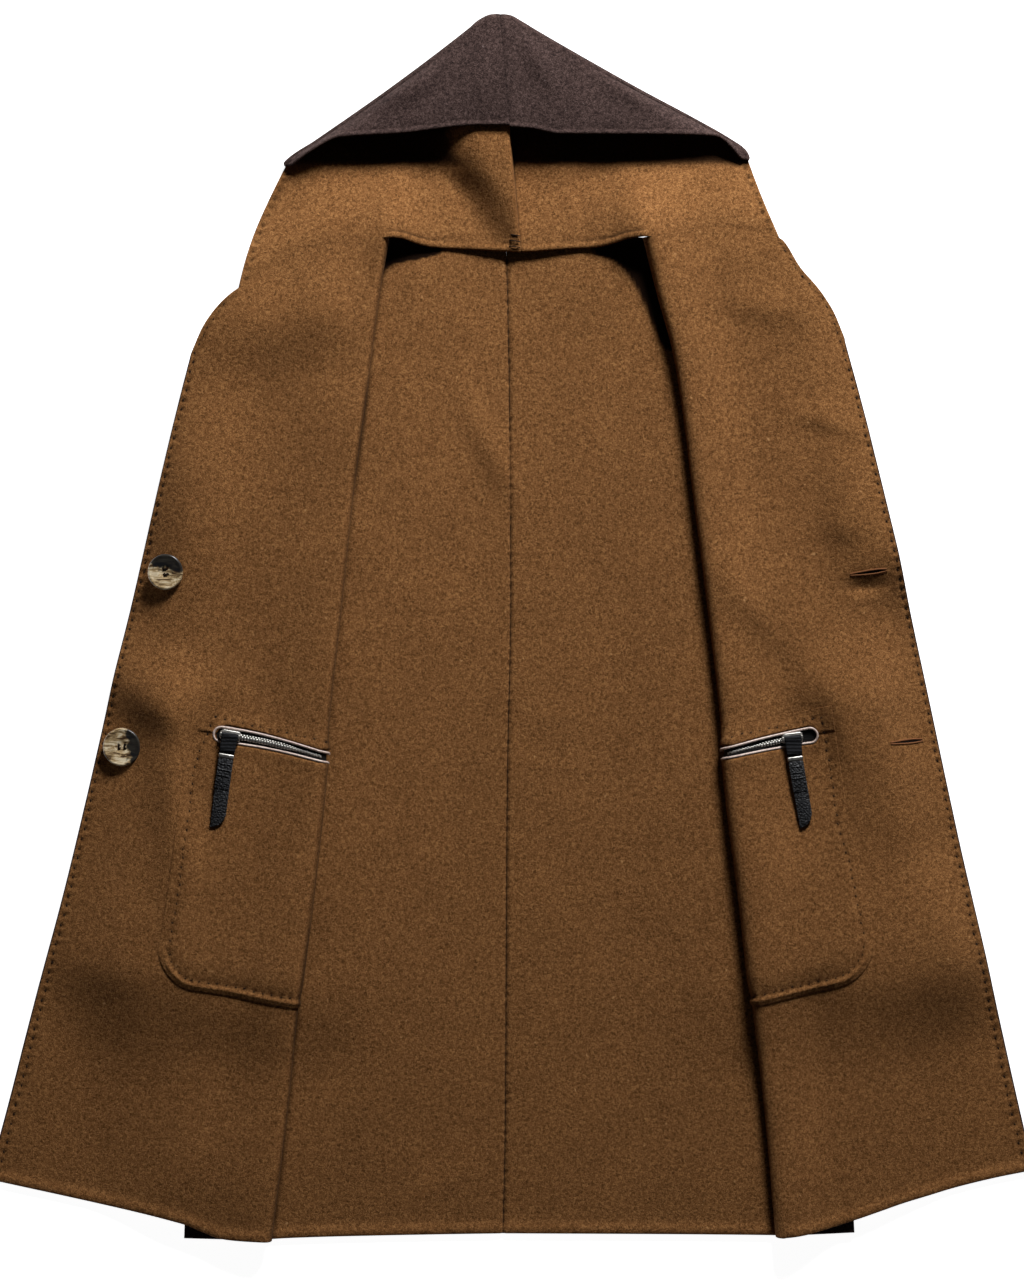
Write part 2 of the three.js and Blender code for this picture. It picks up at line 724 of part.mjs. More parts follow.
function pocketShape(name) {
  const { sign } = SIDES[name];
  const corners = POCKET_OUTLINE[name].map(({ out, y }) => new THREE.Vector2(sign * out, y));
  const [start, before, after, ...rest] = corners;
  const shape = new THREE.Shape();
  shape.moveTo(start.x, start.y);
  shape.lineTo(before.x, before.y);
  const sharp = new THREE.Vector2(after.x + sign * POCKET_CORNER.out, before.y + POCKET_CORNER.y);
  shape.quadraticCurveTo(sharp.x, sharp.y, after.x, after.y);
  for (const point of rest) shape.lineTo(point.x, point.y);
  shape.closePath();
  return shape;
}

// The mouth drawn in plan, widened all round by grow; it runs past the fold.
function mouthShape(name, grow) {
  const { sign } = SIDES[name];
  const { outer, bend, fold } = MOUTH[name];
  const line = new THREE.QuadraticBezierCurve(
    new THREE.Vector2(sign * outer[0], outer[1]),
    new THREE.Vector2(sign * bend[0], bend[1]),
    new THREE.Vector2(sign * fold[0], fold[1]),
  );
  const above = [];
  const below = [];
  for (let k = 0; k <= MOUTH_STEPS; k += 1) {
    const share = k / MOUTH_STEPS;
    const centre = line.getPoint(share);
    const along = line.getTangent(share);
    const half = lerp(MOUTH_HALF.outer, MOUTH_HALF.fold, share) + grow;
    const up = new THREE.Vector2(-along.y, along.x).multiplyScalar(-sign * half);
    above.push(centre.clone().add(up));
    below.push(centre.clone().sub(up));
  }
  const round = [];
  const start = line.getPoint(0);
  const back = line.getTangent(0).multiplyScalar(-(MOUTH_HALF.outer + grow));
  const side = above[0].clone().sub(start);
  for (let k = 1; k < MOUTH_STEPS; k += 1) {
    const angle = (Math.PI * k) / MOUTH_STEPS;
    round.push(start.clone()
      .addScaledVector(side, Math.cos(angle))
      .addScaledVector(back, Math.sin(angle)));
  }
  return new THREE.Shape([...above.reverse(), ...round, ...below]);
}

const HIGH = 60;               // above everything in the coat
const FAR = 200;               // reaches past the front's edge near the pockets

// An upright cutter over a shape, which leaves the roll's lower half alone.
function overRoll(name, shape, clear) {
  const { sign } = SIDES[name];
  const { grid } = FRONTS[name];
  const row = grid[Math.round((POCKET_ROWS[0] + POCKET_ROWS[1]) / 2)];
  const middle = row[ROLL_START + ROLL_STEPS / 2].z;
  const flat = Math.abs(row[ROLL_END].x);
  const beyond = new THREE.Shape([
    new THREE.Vector2(sign * flat, 0),
    new THREE.Vector2(sign * (flat + FAR), 0),
    new THREE.Vector2(sign * (flat + FAR), NECK_HEIGHT),
    new THREE.Vector2(sign * flat, NECK_HEIGHT),
  ]);
  const flatPart = prism(shape, 0, HIGH).intersect(prism(beyond, 0, HIGH));
  return prism(shape, middle + clear, HIGH).add(flatPart);
}

function pocketGeometry(name) {
  const patch = frontLayer(name, SEAM, SEAM + POCKET_CLOTH);
  const outline = prism(pocketShape(name), 0, HIGH);
  const mouth = overRoll(name, mouthShape(name, PIPING_WIDTH + SEAM), 0);
  return geometryOf(patch.intersect(outline).subtract(mouth));
}

function pipingGeometry(name) {
  const layer = frontLayer(name, SEAM, SEAM + POCKET_CLOTH + PIPING_PROUD);
  const outline = overRoll(name, mouthShape(name, PIPING_WIDTH), SEAM);
  const mouth = prism(mouthShape(name, 0), 0, HIGH);
  return geometryOf(layer.intersect(outline).subtract(mouth));
}

function tapeGeometry(name) {
  const layer = frontLayer(name, SEAM, SEAM + TAPE);
  const outline = overRoll(name, mouthShape(name, -SEAM), SEAM);
  return geometryOf(layer.intersect(outline));
}

const SLIDER = { length: 18, width: 9, low: 1.2, high: 4.2, post: 1.7, postDepth: 3.4, bar: 0.8 };
const LOOP = { width: 14, reach: 15.8, thickness: 2.6, inner: 1.1, outer: 2.3 };
const BAR_HEIGHT = SLIDER.high + LOOP.outer + 0.4;
const POST_TOP = BAR_HEIGHT + 1.3;

function sliderPlace(name) {
  const { sign } = SIDES[name];
  const { outer, bend, fold, slider } = MOUTH[name];
  const share = (outer[0] - slider) / (2 * (outer[0] - bend[0]));
  const y = (1 - share) ** 2 * outer[1] + 2 * share * (1 - share) * bend[1] + share ** 2 * fold[1];
  return { x: sign * slider, y };
}

function chainGeometry(name) {
  const { sign } = SIDES[name];
  const place = sliderPlace(name);
  const low = SEAM + TAPE + SEAM;
  const layer = frontLayer(name, low, low + CHAIN_HEIGHT);
  const shape = mouthShape(name, CHAIN_WIDTH / 2 - MOUTH_HALF.fold);
  const strip = overRoll(name, shape, SEAM);
  const start = Math.abs(place.x) - SLIDER.length / 2 - 2 * SEAM;
  const keep = new THREE.Shape([
    new THREE.Vector2(0, 0),
    new THREE.Vector2(sign * start, 0),
    new THREE.Vector2(sign * start, NECK_HEIGHT),
    new THREE.Vector2(0, NECK_HEIGHT),
  ]);
  return geometryOf(layer.intersect(strip).intersect(prism(keep, 0, HIGH)));
}

// Slider with two posts and the bar that carries the pull. X runs along the zip.
function sliderGeometry() {
  const { length, width, low, high, post, postDepth, bar } = SLIDER;
  const half = length / 2;
  const body = new THREE.Shape([
    new THREE.Vector2(-half, -width * 0.3),
    new THREE.Vector2(-half * 0.7, -width / 2),
    new THREE.Vector2(half * 0.8, -width / 2),
    new THREE.Vector2(half, -width * 0.36),
    new THREE.Vector2(half, width * 0.36),
    new THREE.Vector2(half * 0.8, width / 2),
    new THREE.Vector2(-half * 0.7, width / 2),
    new THREE.Vector2(-half, width * 0.3),
  ]);
  let solid = prism(body, low, high);
  for (const end of [-1, 1]) {
    const geometry = new THREE.BoxGeometry(post, postDepth, POST_TOP - low);
    geometry.translate(end * (half - post / 2), 0, (POST_TOP + low) / 2);
    solid = solid.add(solidFrom(geometry));
  }
  const rod = new THREE.CylinderGeometry(bar, bar, length - post, 12);
  rod.rotateZ(Math.PI / 2);
  rod.translate(0, 0, BAR_HEIGHT);
  return geometryOf(solid.add(solidFrom(rod)));
}

// Turns an extrusion drawn as (distance down the pull, height), so that its depth is along the bar.
function acrossPull(shape, width) {
  const geometry = new THREE.ExtrudeGeometry(shape, {
    depth: width,
    bevelEnabled: false,
    curveSegments: 8,
  });
  geometry.translate(0, 0, -width / 2);
  const basis = new THREE.Matrix4().makeBasis(
    new THREE.Vector3(0, -1, 0),
    new THREE.Vector3(0, 0, 1),
    new THREE.Vector3(-1, 0, 0),
  );
  geometry.applyMatrix4(basis);
  return geometry;
}

// The ribbon that goes round the slider's bar.
function loopGeometry() {
  const { width, reach, thickness, inner, outer } = LOOP;
  const shape = new THREE.Shape();
  shape.moveTo(reach, -thickness / 2);
  shape.lineTo(reach, thickness / 2);
  shape.absarc(0, 0, outer, THREE.MathUtils.degToRad(70), THREE.MathUtils.degToRad(290), false);
  shape.closePath();
  const eye = new THREE.Path();
  eye.absarc(0, 0, inner, 0, 2 * Math.PI, true);
  shape.holes.push(eye);
  return acrossPull(shape, width);
}

const BAND = { start: LOOP.reach + SEAM, length: 3.6, width: 13.4, thickness: 3.2 };
const STRAP = { start: BAND.start + BAND.length + SEAM, tip: 85.5, width: 13, thickness: 2 };
const STRAP_CUT = 13;          // the tip's slanting round cut, along the strap

function bandGeometry() {
  const geometry = new THREE.BoxGeometry(BAND.width, BAND.length, BAND.thickness);
  geometry.translate(0, -(BAND.start + BAND.length / 2), 0);
  return geometry;
}

function strapGeometry() {
  const half = STRAP.width / 2;
  const shape = new THREE.Shape();
  shape.moveTo(-half, -STRAP.start);
  shape.lineTo(-half, -STRAP.tip);
  shape.quadraticCurveTo(half * 0.7, -STRAP.tip + 3, half, -STRAP.tip + STRAP_CUT);
  shape.lineTo(half, -STRAP.start);
  shape.closePath();
  const geometry = new THREE.ExtrudeGeometry(shape, {
    depth: STRAP.thickness,
    bevelEnabled: false,
    curveSegments: 6,
  });
  geometry.translate(0, 0, -STRAP.thickness / 2);
  return geometry;
}

// ---------------------------------------------------------------- buttons and buttonholes

const BUTTON = { radius: 15.4, height: 4.2, dish: 11, hole: 1.1, holeSpacing: 2.3 };
const SHANK = { radius: 2, height: 2.6 };
const BUTTONS = [
  { name: 'upper', out: 301, y: 578.6 },
  { name: 'lower', out: 339.3, y: 426.3 },
];
const BUTTONHOLES = [
  { from: [292.3, 578.6], to: [323.6, 583] },
  { from: [327, 432.6], to: [356, 435] },
];
const SLIT = 1.4;

function buttonGeometry() {
  const { radius, height, dish, hole, holeSpacing } = BUTTON;
  const profile = [
    [0, 0],
    [radius - 2, 0],
    [radius, 1.4],
    [radius, height - 1.6],
    [radius - 1, height - 0.4],
    [radius - 2.6, height],
    [dish, height - 0.5],
    [5, height - 0.9],
    [4, height - 1.6],
    [0, height - 1.6],
  ].map(([r, z]) => new THREE.Vector2(r, z));
  const disc = new THREE.LatheGeometry(profile, 28);
  disc.rotateX(Math.PI / 2);
  let solid = solidFrom(disc);
  for (const x of [-1, 1]) {
    for (const y of [-1, 1]) {
      const drill = new THREE.CylinderGeometry(hole, hole, 3 * height, 8);
      drill.rotateX(Math.PI / 2);
      drill.translate((x * holeSpacing) / 2, (y * holeSpacing) / 2, 0);
      solid = solid.subtract(solidFrom(drill));
    }
  }
  return geometryOf(solid);
}

function shankGeometry() {
  const geometry = new THREE.CylinderGeometry(SHANK.radius, SHANK.radius, SHANK.height, 10);
  geometry.rotateX(Math.PI / 2);
  geometry.translate(0, 0, SHANK.height / 2);
  return geometry;
}

function slitSolid({ from, to }) {
  const start = new THREE.Vector2(...from);
  const end = new THREE.Vector2(...to);
  const across = end.clone().sub(start).normalize().rotateAround(new THREE.Vector2(), Math.PI / 2);
  across.multiplyScalar(SLIT / 2);
  const shape = new THREE.Shape([
    start.clone().add(across),
    start.clone().sub(across),
    end.clone().sub(across),
    end.clone().add(across),
  ]);
  return prism(shape, -HIGH, HIGH);
}

// ---------------------------------------------------------------- the coat

const FINISH = {
  woolInner: { color: 0x7a5634, roughness: 0.95, metalness: 0 },
  woolOuter: { color: 0x4a3b37, roughness: 0.95, metalness: 0 },
  piping: { color: 0xe8cdbd, roughness: 0.6, metalness: 0 },
  tape: { color: 0x15130f, roughness: 0.9, metalness: 0 },
  chain: { color: 0xc9c9c4, roughness: 0.3, metalness: 1 },
  ribbon: { color: 0x26262a, roughness: 0.8, metalness: 0 },
  strap: { color: 0x2e2f31, roughness: 0.7, metalness: 0 },
  horn: { color: 0xb8a684, roughness: 0.35, metalness: 0 },
  thread: { color: 0x4a3320, roughness: 0.9, metalness: 0 },
};

const group = new THREE.Group();

function piece(name, geometry, finish) {
  const mesh = new THREE.Mesh(geometry, new THREE.MeshStandardMaterial(FINISH[finish]));
  mesh.name = name;
  return mesh;
}

// The place and the normal of a front's upper face, straight below a point in plan.
function onFace(mesh, x, y) {
  const ray = new THREE.Raycaster(new THREE.Vector3(x, y, 2 * HIGH), new THREE.Vector3(0, 0, -1));
  const [hit] = ray.intersectObject(mesh, false);
  return { point: hit.point, normal: hit.face.normal };
}

function addZip(name, front) {
  const { sign } = SIDES[name];
  group.add(piece(`pocket_${name}`, pocketGeometry(name), 'woolInner'));
  group.add(piece(`zip_piping_${name}`, pipingGeometry(name), 'piping'));
  group.add(piece(`zip_tape_${name}`, tapeGeometry(name), 'tape'));
  group.add(piece(`zip_chain_${name}`, chainGeometry(name), 'chain'));

  const place = sliderPlace(name);
  const mount = new THREE.Group();
  const reach = SLIDER.length / 2;
  const under = [-reach, 0, reach].map((step) => onFace(front, place.x + step, place.y).point.z);
  mount.position.set(place.x, place.y, Math.max(...under));
  mount.rotation.z = THREE.MathUtils.degToRad(sign * MOUTH[name].tilt);
  mount.add(piece(`zip_slider_${name}`, sliderGeometry(), 'chain'));

  // The pull leans down until its tip lies just clear of the patch.
  const pull = new THREE.Group();
  const clear = SEAM + POCKET_CLOTH + 0.4;
  const drop = BAR_HEIGHT - STRAP.thickness / 2 - clear;
  pull.position.z = BAR_HEIGHT;
  pull.rotation.x = Math.asin(drop / STRAP.tip);
  pull.add(piece(`pull_loop_${name}`, loopGeometry(), 'ribbon'));
  pull.add(piece(`pull_band_${name}`, bandGeometry(), 'chain'));
  pull.add(piece(`pull_strap_${name}`, strapGeometry(), 'strap'));
  mount.add(pull);
  group.add(mount);
}

function addButtons(front) {
  const up = new THREE.Vector3(0, 0, 1);
  for (const { name, out, y } of BUTTONS) {
    const { point, normal } = onFace(front, -out, y);
    const mount = new THREE.Group();
    mount.position.copy(point);
    mount.quaternion.setFromUnitVectors(up, normal);
    const shank = piece(`button_shank_${name}`, shankGeometry(), 'thread');
    shank.position.z = SEAM;
    const button = piece(`button_${name}`, buttonGeometry(), 'horn');
    button.position.z = SEAM + SHANK.height + SEAM;
    mount.add(shank, button);
    group.add(mount);
  }
}

for (const name of Object.keys(SIDES)) {
  const front = piece(`front_${name}`, frontGeometry(name), 'woolInner');
  group.add(piece(`back_${name}`, backGeometry(name), 'woolInner'));
  group.add(piece(`hood_${name}`, hoodGeometry(name), 'woolInner'));
  group.add(piece(`sleeve_${name}`, sleeveGeometry(name), 'woolOuter'));
  addZip(name, front);
  if (name === 'left') addButtons(front);
  if (name === 'right') {
    let cloth = solidFrom(front.geometry);
    for (const hole of BUTTONHOLES) cloth = cloth.subtract(slitSolid(hole));
    front.geometry = geometryOf(cloth);
  }
  group.add(front);
}

// The origin is at the middle of the coat's footprint, on the floor.
group.updateMatrixWorld(true);
const footprint = new THREE.Box3().setFromObject(group, true);
const middle = footprint.getCenter(new THREE.Vector3());
group.position.set(-middle.x, -middle.y, -footprint.min.z);

export default group;
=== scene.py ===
"""A hooded winter coat in double-faced wool, laid open and flat on its back, inside up.

Sizes are in millimetres in the coat's own lay: x is measured from the centre line, y from the
hem towards the hood and z from the surface that it lies on. One function turns them to metres.
"""

import json
import logging
import math
from dataclasses import dataclass
from enum import Enum
from typing import Callable, Iterable, Sequence

import bmesh
import bpy
import numpy as np
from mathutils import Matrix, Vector


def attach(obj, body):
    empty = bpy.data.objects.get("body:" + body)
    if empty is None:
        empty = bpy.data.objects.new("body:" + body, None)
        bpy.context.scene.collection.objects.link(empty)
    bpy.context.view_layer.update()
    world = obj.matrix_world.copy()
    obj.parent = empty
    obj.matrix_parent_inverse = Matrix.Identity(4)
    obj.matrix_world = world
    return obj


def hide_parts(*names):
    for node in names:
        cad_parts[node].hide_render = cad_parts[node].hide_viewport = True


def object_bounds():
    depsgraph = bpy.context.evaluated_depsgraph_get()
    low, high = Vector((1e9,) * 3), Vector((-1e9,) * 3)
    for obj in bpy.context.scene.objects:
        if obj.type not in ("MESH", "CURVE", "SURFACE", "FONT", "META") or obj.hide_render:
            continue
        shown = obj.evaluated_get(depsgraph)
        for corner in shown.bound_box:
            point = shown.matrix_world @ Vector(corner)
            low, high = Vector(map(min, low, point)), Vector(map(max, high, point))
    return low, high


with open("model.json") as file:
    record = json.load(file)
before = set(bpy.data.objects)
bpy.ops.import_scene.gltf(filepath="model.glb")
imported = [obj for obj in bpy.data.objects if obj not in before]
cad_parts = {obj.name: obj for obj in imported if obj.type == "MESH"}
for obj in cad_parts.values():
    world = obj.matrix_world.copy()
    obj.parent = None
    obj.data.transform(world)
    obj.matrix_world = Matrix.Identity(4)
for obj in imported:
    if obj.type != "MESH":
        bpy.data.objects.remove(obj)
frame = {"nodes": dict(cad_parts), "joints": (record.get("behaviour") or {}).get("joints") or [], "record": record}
log = logging.getLogger("coat")

Points = np.ndarray
Part = tuple[Points, Iterable[Sequence[int]]]  # a part's points and the corner numbers of its faces
MM = 0.001
X, Y, Z = np.eye(3)
CAD_LOW, CAD_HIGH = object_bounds()

# ---------------------------------------------------------------- driving sizes, millimetres

CLOTH = 2.4  # the double-faced wool
HALF = CLOTH / 2
SEAM = 0.3  # space between pieces that are sewn together
PLY_SPACE = 0.4
TOP_PLY_SPACE = 1.2
NECK_HEIGHT = 870.0
SHOULDER_HEIGHT = 826.0
UNDERARM_HEIGHT = 650.0
SHOULDER_OUT = 229.0
UNDERARM_OUT = 262.0
STITCH_PITCH = 8.5  # hand pick stitches along the edges
ROWS_PER_STITCH = 5
SLEEVE_HOLLOW = 1.6
SLEEVE_HEIGHT = 2 * CLOTH + SLEEVE_HOLLOW
SLEEVE_LIFT = SLEEVE_HEIGHT + PLY_SPACE
BACK_MIDDLE = HALF
LOWER_MIDDLE = CLOTH + PLY_SPACE + HALF
UPPER_MIDDLE = LOWER_MIDDLE + CLOTH + TOP_PLY_SPACE
FOLD_SETTLE = 60.0  # how far from a fold its spring dies away
NO_EDGE = 999.0  # stands for the distance of an edge that isn't free


class Side(Enum):
    """The two sides of the coat, as seen from above with the hood away from the eye."""

    LEFT = -1
    RIGHT = 1

    @property
    def word(self) -> str:
        """The side's name, as the frame's nodes have it."""
        return self.name.lower()


@dataclass(frozen=True)
class Line:
    """A smooth line through a short table: a value for each place, with no overshoot."""

    rows: tuple[tuple[float, float], ...]

    def at(self, place: Points | float) -> Points:
        """Reads the line.

        Args:
            place: Where to read it, one value or many.

        Returns:
            The values there; past the ends the end value is kept.
        """
        keys = np.array([row[0] for row in self.rows], float)
        values = np.array([row[1] for row in self.rows], float)
        gaps = np.diff(keys)
        slopes = np.diff(values) / gaps
        tangents = np.empty_like(values)
        tangents[0], tangents[-1] = slopes[0], slopes[-1]
        before, after = slopes[:-1], slopes[1:]
        total = np.where(np.abs(before + after) < 1e-12, 1.0, before + after)
        tangents[1:-1] = np.where(before * after > 0, 2 * before * after / total, 0.0)
        place = np.asarray(place, float)
        index = np.clip(np.searchsorted(keys, place) - 1, 0, len(gaps) - 1)
        gap = gaps[index]
        t = np.clip((place - keys[index]) / gap, 0, 1)
        low, high = values[index], values[index + 1]
        return (
            low * (1 + 2 * t) * (1 - t) ** 2
            + gap * tangents[index] * t * (1 - t) ** 2
            + high * t * t * (3 - 2 * t)
            + gap * tangents[index + 1] * t * t * (t - 1)
        )


@dataclass(frozen=True)
class Swell:
    """A soft swell of the cloth: middle, half lengths, turn in degrees and height.

    long is its reach along its crest, up and down its reach on the two sides of the crest.
    """

    x: float
    y: float
    long: float
    up: float
    down: float
    turn: float
    height: float

    def at(self, x: Points, y: Points) -> Points:
        """Height of the swell at places in plan.

        Args:
            x: Places across, in millimetres.
            y: Places along.

        Returns:
            The height that it adds there.
        """
        angle = math.radians(self.turn)
        dx, dy = x - self.x, y - self.y
        along = dx * math.cos(angle) + dy * math.sin(angle)
        across = dy * math.cos(angle) - dx * math.sin(angle)
        reach = np.where(across > 0, self.up, self.down)
        return self.height * np.exp(-((along / self.long) ** 2) - (across / reach) ** 2)


def ease(x: Points | float) -> Points:
    """Smooth step from 0 to 1."""
    t = np.clip(x, 0, 1)
    return t * t * (3 - 2 * t)


def bell(x: Points, middle: float, width: Points | float) -> Points:
    """A bell curve one high, with its width taken where it has fallen to 1/e."""
    return np.exp(-(((x - middle) / width) ** 2))


def mix(a: Points | float, b: Points | float, share: Points | float) -> Points:
    """Blend of two values."""
    return a + (b - a) * share


def stack(x: Points, y: Points, z: Points) -> Points:
    """Joins three arrays into points."""
    return np.stack(np.broadcast_arrays(x, y, z), axis=-1).astype(float)


def unit(v: Points) -> Points:
    """Vectors of length one."""
    return v / np.maximum(np.linalg.norm(v, axis=-1, keepdims=True), 1e-9)


# The coat's middle on the floor is the frame's origin.
EDGE_LEFT, EDGE_RIGHT = 456.0, 454.0
SHIFT = np.array([(EDGE_LEFT - EDGE_RIGHT) / 2, -(CAD_HIGH.y - CAD_LOW.y) / MM / 2, 0.0])


def metres(points: Points) -> Points:
    """Turns lay millimetres into the frame's metres."""
    return (points + SHIFT) * MM


# ---------------------------------------------------------------- meshes


def grid_normals(points: Points) -> Points:
    """Normals of a grid of points.

    Args:
        points: Rows by columns of points.

    Returns:
        Unit normals, along columns crossed with rows.
    """
    across = np.gradient(points, axis=1)
    along = np.gradient(points, axis=0)
    return unit(np.cross(across, along))


def new_object(name: str, data: bpy.types.ID | None) -> bpy.types.Object:
    """Makes an object of its data and links it to the scene.

    Args:
        name: Name of the object.
        data: What it holds: a mesh, a light or a camera.

    Returns:
        The object.
    """
    made = bpy.data.objects.new(name, data)
    bpy.context.scene.collection.objects.link(made)
    return made


def make_mesh(
    name: str,
    vertices: Points,
    faces: Iterable[Sequence[int]],
    finishes: Sequence[bpy.types.Material],
    indices: Sequence[int] | None = None,
    pressed: Points | None = None,
) -> bpy.types.Object:
    """Makes an object from lay points in millimetres.

    Args:
        name: The piece's name.
        vertices: Its points.
        faces: Corner numbers of each face.
        finishes: The materials that its faces use.
        indices: Which material each face has.
        pressed: How much shade is painted on each of the first points, darkening its colour towards the material's
            shade colour.

    Returns:
        The new object, linked to the scene.
    """
    mesh = bpy.data.meshes.new(name)
    mesh.from_pydata(metres(np.asarray(vertices, float)).tolist(), [], [list(f) for f in faces])
    for finish in finishes:
        mesh.materials.append(finish)
    if indices is not None:
        mesh.polygons.foreach_set("material_index", np.asarray(indices, np.int32))
    mesh.polygons.foreach_set("use_smooth", np.ones(len(mesh.polygons), bool))
    # painted shade: kept on the points, where the wool darkens its colour towards its shade colour
    if pressed is not None:
        values = np.zeros(len(mesh.vertices), np.float32)
        values[: pressed.size] = np.clip(pressed, 0, 1).ravel()
        mesh.attributes.new("pressed", "FLOAT", "POINT").data.foreach_set("value", values)
    mesh.validate()
    mesh.update()
    return new_object(name, mesh)


def quads(rows: int, columns: int, close: bool = False) -> Points:
    """Corner numbers of a grid's faces, turned anticlockwise when columns cross rows upward.

    Args:
        rows: Rows of points.
        columns: Columns of points.
        close: Whether the last column joins the first.

    Returns:
        One row of four numbers for each face.
    """
    index = np.arange(rows * columns).reshape(rows, columns)
    if close:
        index = np.concatenate([index, index[:, :1]], axis=1)
    a, b = index[:-1, :-1], index[:-1, 1:]
    c, d = index[1:, 1:], index[1:, :-1]
    return np.stack([a, b, c, d], axis=-1).reshape(-1, 4)


def rim_of(rows: int, columns: int) -> Points:
    """The numbers of a grid's boundary points, in order."""
    index = np.arange(rows * columns).reshape(rows, columns)
    return np.concatenate([index[0, :-1], index[:-1, -1], index[-1, :0:-1], index[:0:-1, 0]])


def sheet_faces(rows: int, columns: int) -> Points:
    """Faces of a closed sheet whose upper grid of points comes before its lower one.

    Args:
        rows: Rows of points.
        columns: Columns of points.

    Returns:
        The upper side's faces, then the lower side's, then the rim's.
    """
    side, rim, count = quads(rows, columns), rim_of(rows, columns), rows * columns
    after = np.roll(rim, -1)
    band = np.stack([rim, rim + count, after + count, after], axis=-1)
    return np.concatenate([side, side[:, ::-1] + count, band])


@dataclass
class Shell:
    """A closed sheet of cloth on a grid of points, with two faces and a rim."""

    points: Points
    above: Points
    below: Points
    flip: bool = False

    def vertices(self) -> Points:
        """Points of the upper face, then of the lower face.

        Returns:
            The points of both faces in one list.
        """
        normals = grid_normals(self.points) * (-1 if self.flip else 1)
        upper = self.points + normals * self.above[..., None]
        lower = self.points - normals * self.below[..., None]
        return np.concatenate([upper.reshape(-1, 3), lower.reshape(-1, 3)])

    def faces(self) -> Points:
        """Faces of the upper side, the lower side and the rim."""
        faces = sheet_faces(*self.points.shape[:2])
        return faces[:, ::-1] if self.flip else faces

    def finish_of(self, upper: Points | int) -> Points:
        """Numbers of the faces' finishes: those given on the upper side, and 1 on the others.

        Args:
            upper: Finish number of each face of the upper side.

        Returns:
            A finish number for each face of the shell.
        """
        rows, columns = self.points.shape[:2]
        indices = np.ones(len(self.faces()), int)
        indices[: (rows - 1) * (columns - 1)] = np.ravel(upper)
        return indices


def edge_round(distance: Points, radius: float = HALF) -> Points:
    """Share of the cloth's half thickness at a distance from its edge."""
    inside = 1 - np.clip(distance / radius, 0, 1)
    return 0.2 + 0.8 * np.sqrt(np.clip(1 - inside**2, 0, 1))


def spaced(length: float, pitch: float, first: Sequence[float] = (0.0,)) -> Points:
    """Places from 0 to length: the given first ones, then even steps close to pitch.

    Args:
        length: Where the last place is.
        pitch: Step to come close to.
        first: Places at the start, rising.

    Returns:
        The places, rising.
    """
    start = first[-1]
    steps = max(1, round((length - start) / pitch))
    return np.concatenate([np.array(first[:-1]), np.linspace(start, length, steps + 1)])


# Distances from an edge or a seam at which the grids have close rows and columns.
NEAR_EDGE = (0.0, 0.5, 1.3, 2.4, 3.7, 5.0, 6.3, 7.6, 9.2, 11.2)
NEAR_SEAM = (0.0, 0.4, 0.9, 1.5, 2.3, 3.4, 5.0, 7.0, 9.5, 13.0)
NEAR_SEWN = (0.0, 0.5, 1.2, 2.0, 3.0, 4.2, 5.6, 7.0, 8.6)
NEAR_NECK = (0.0, 0.6, 1.5, 2.8, 4.4, 6.2)
NEAR_LIP = (0.0, 0.5, 1.3, 2.4, 3.7, 5.0, 6.4)
HIDDEN_COLUMNS = 8  # columns of the plies that lie hidden between the side seam and the fold


def lengths_along(path: Points) -> Points:
    """Distance of each point of a path from its start, measured along it."""
    steps = np.linalg.norm(np.diff(path, axis=0), axis=-1)
    return np.concatenate([np.zeros((1, *steps.shape[1:])), np.cumsum(steps, axis=0)])


def path_at(path: Points, lengths: Points, at: Points) -> Points:
    """Places in plan at distances along a path."""
    return np.stack([np.interp(at, lengths, path[:, k]) for k in (0, 1)], axis=-1)


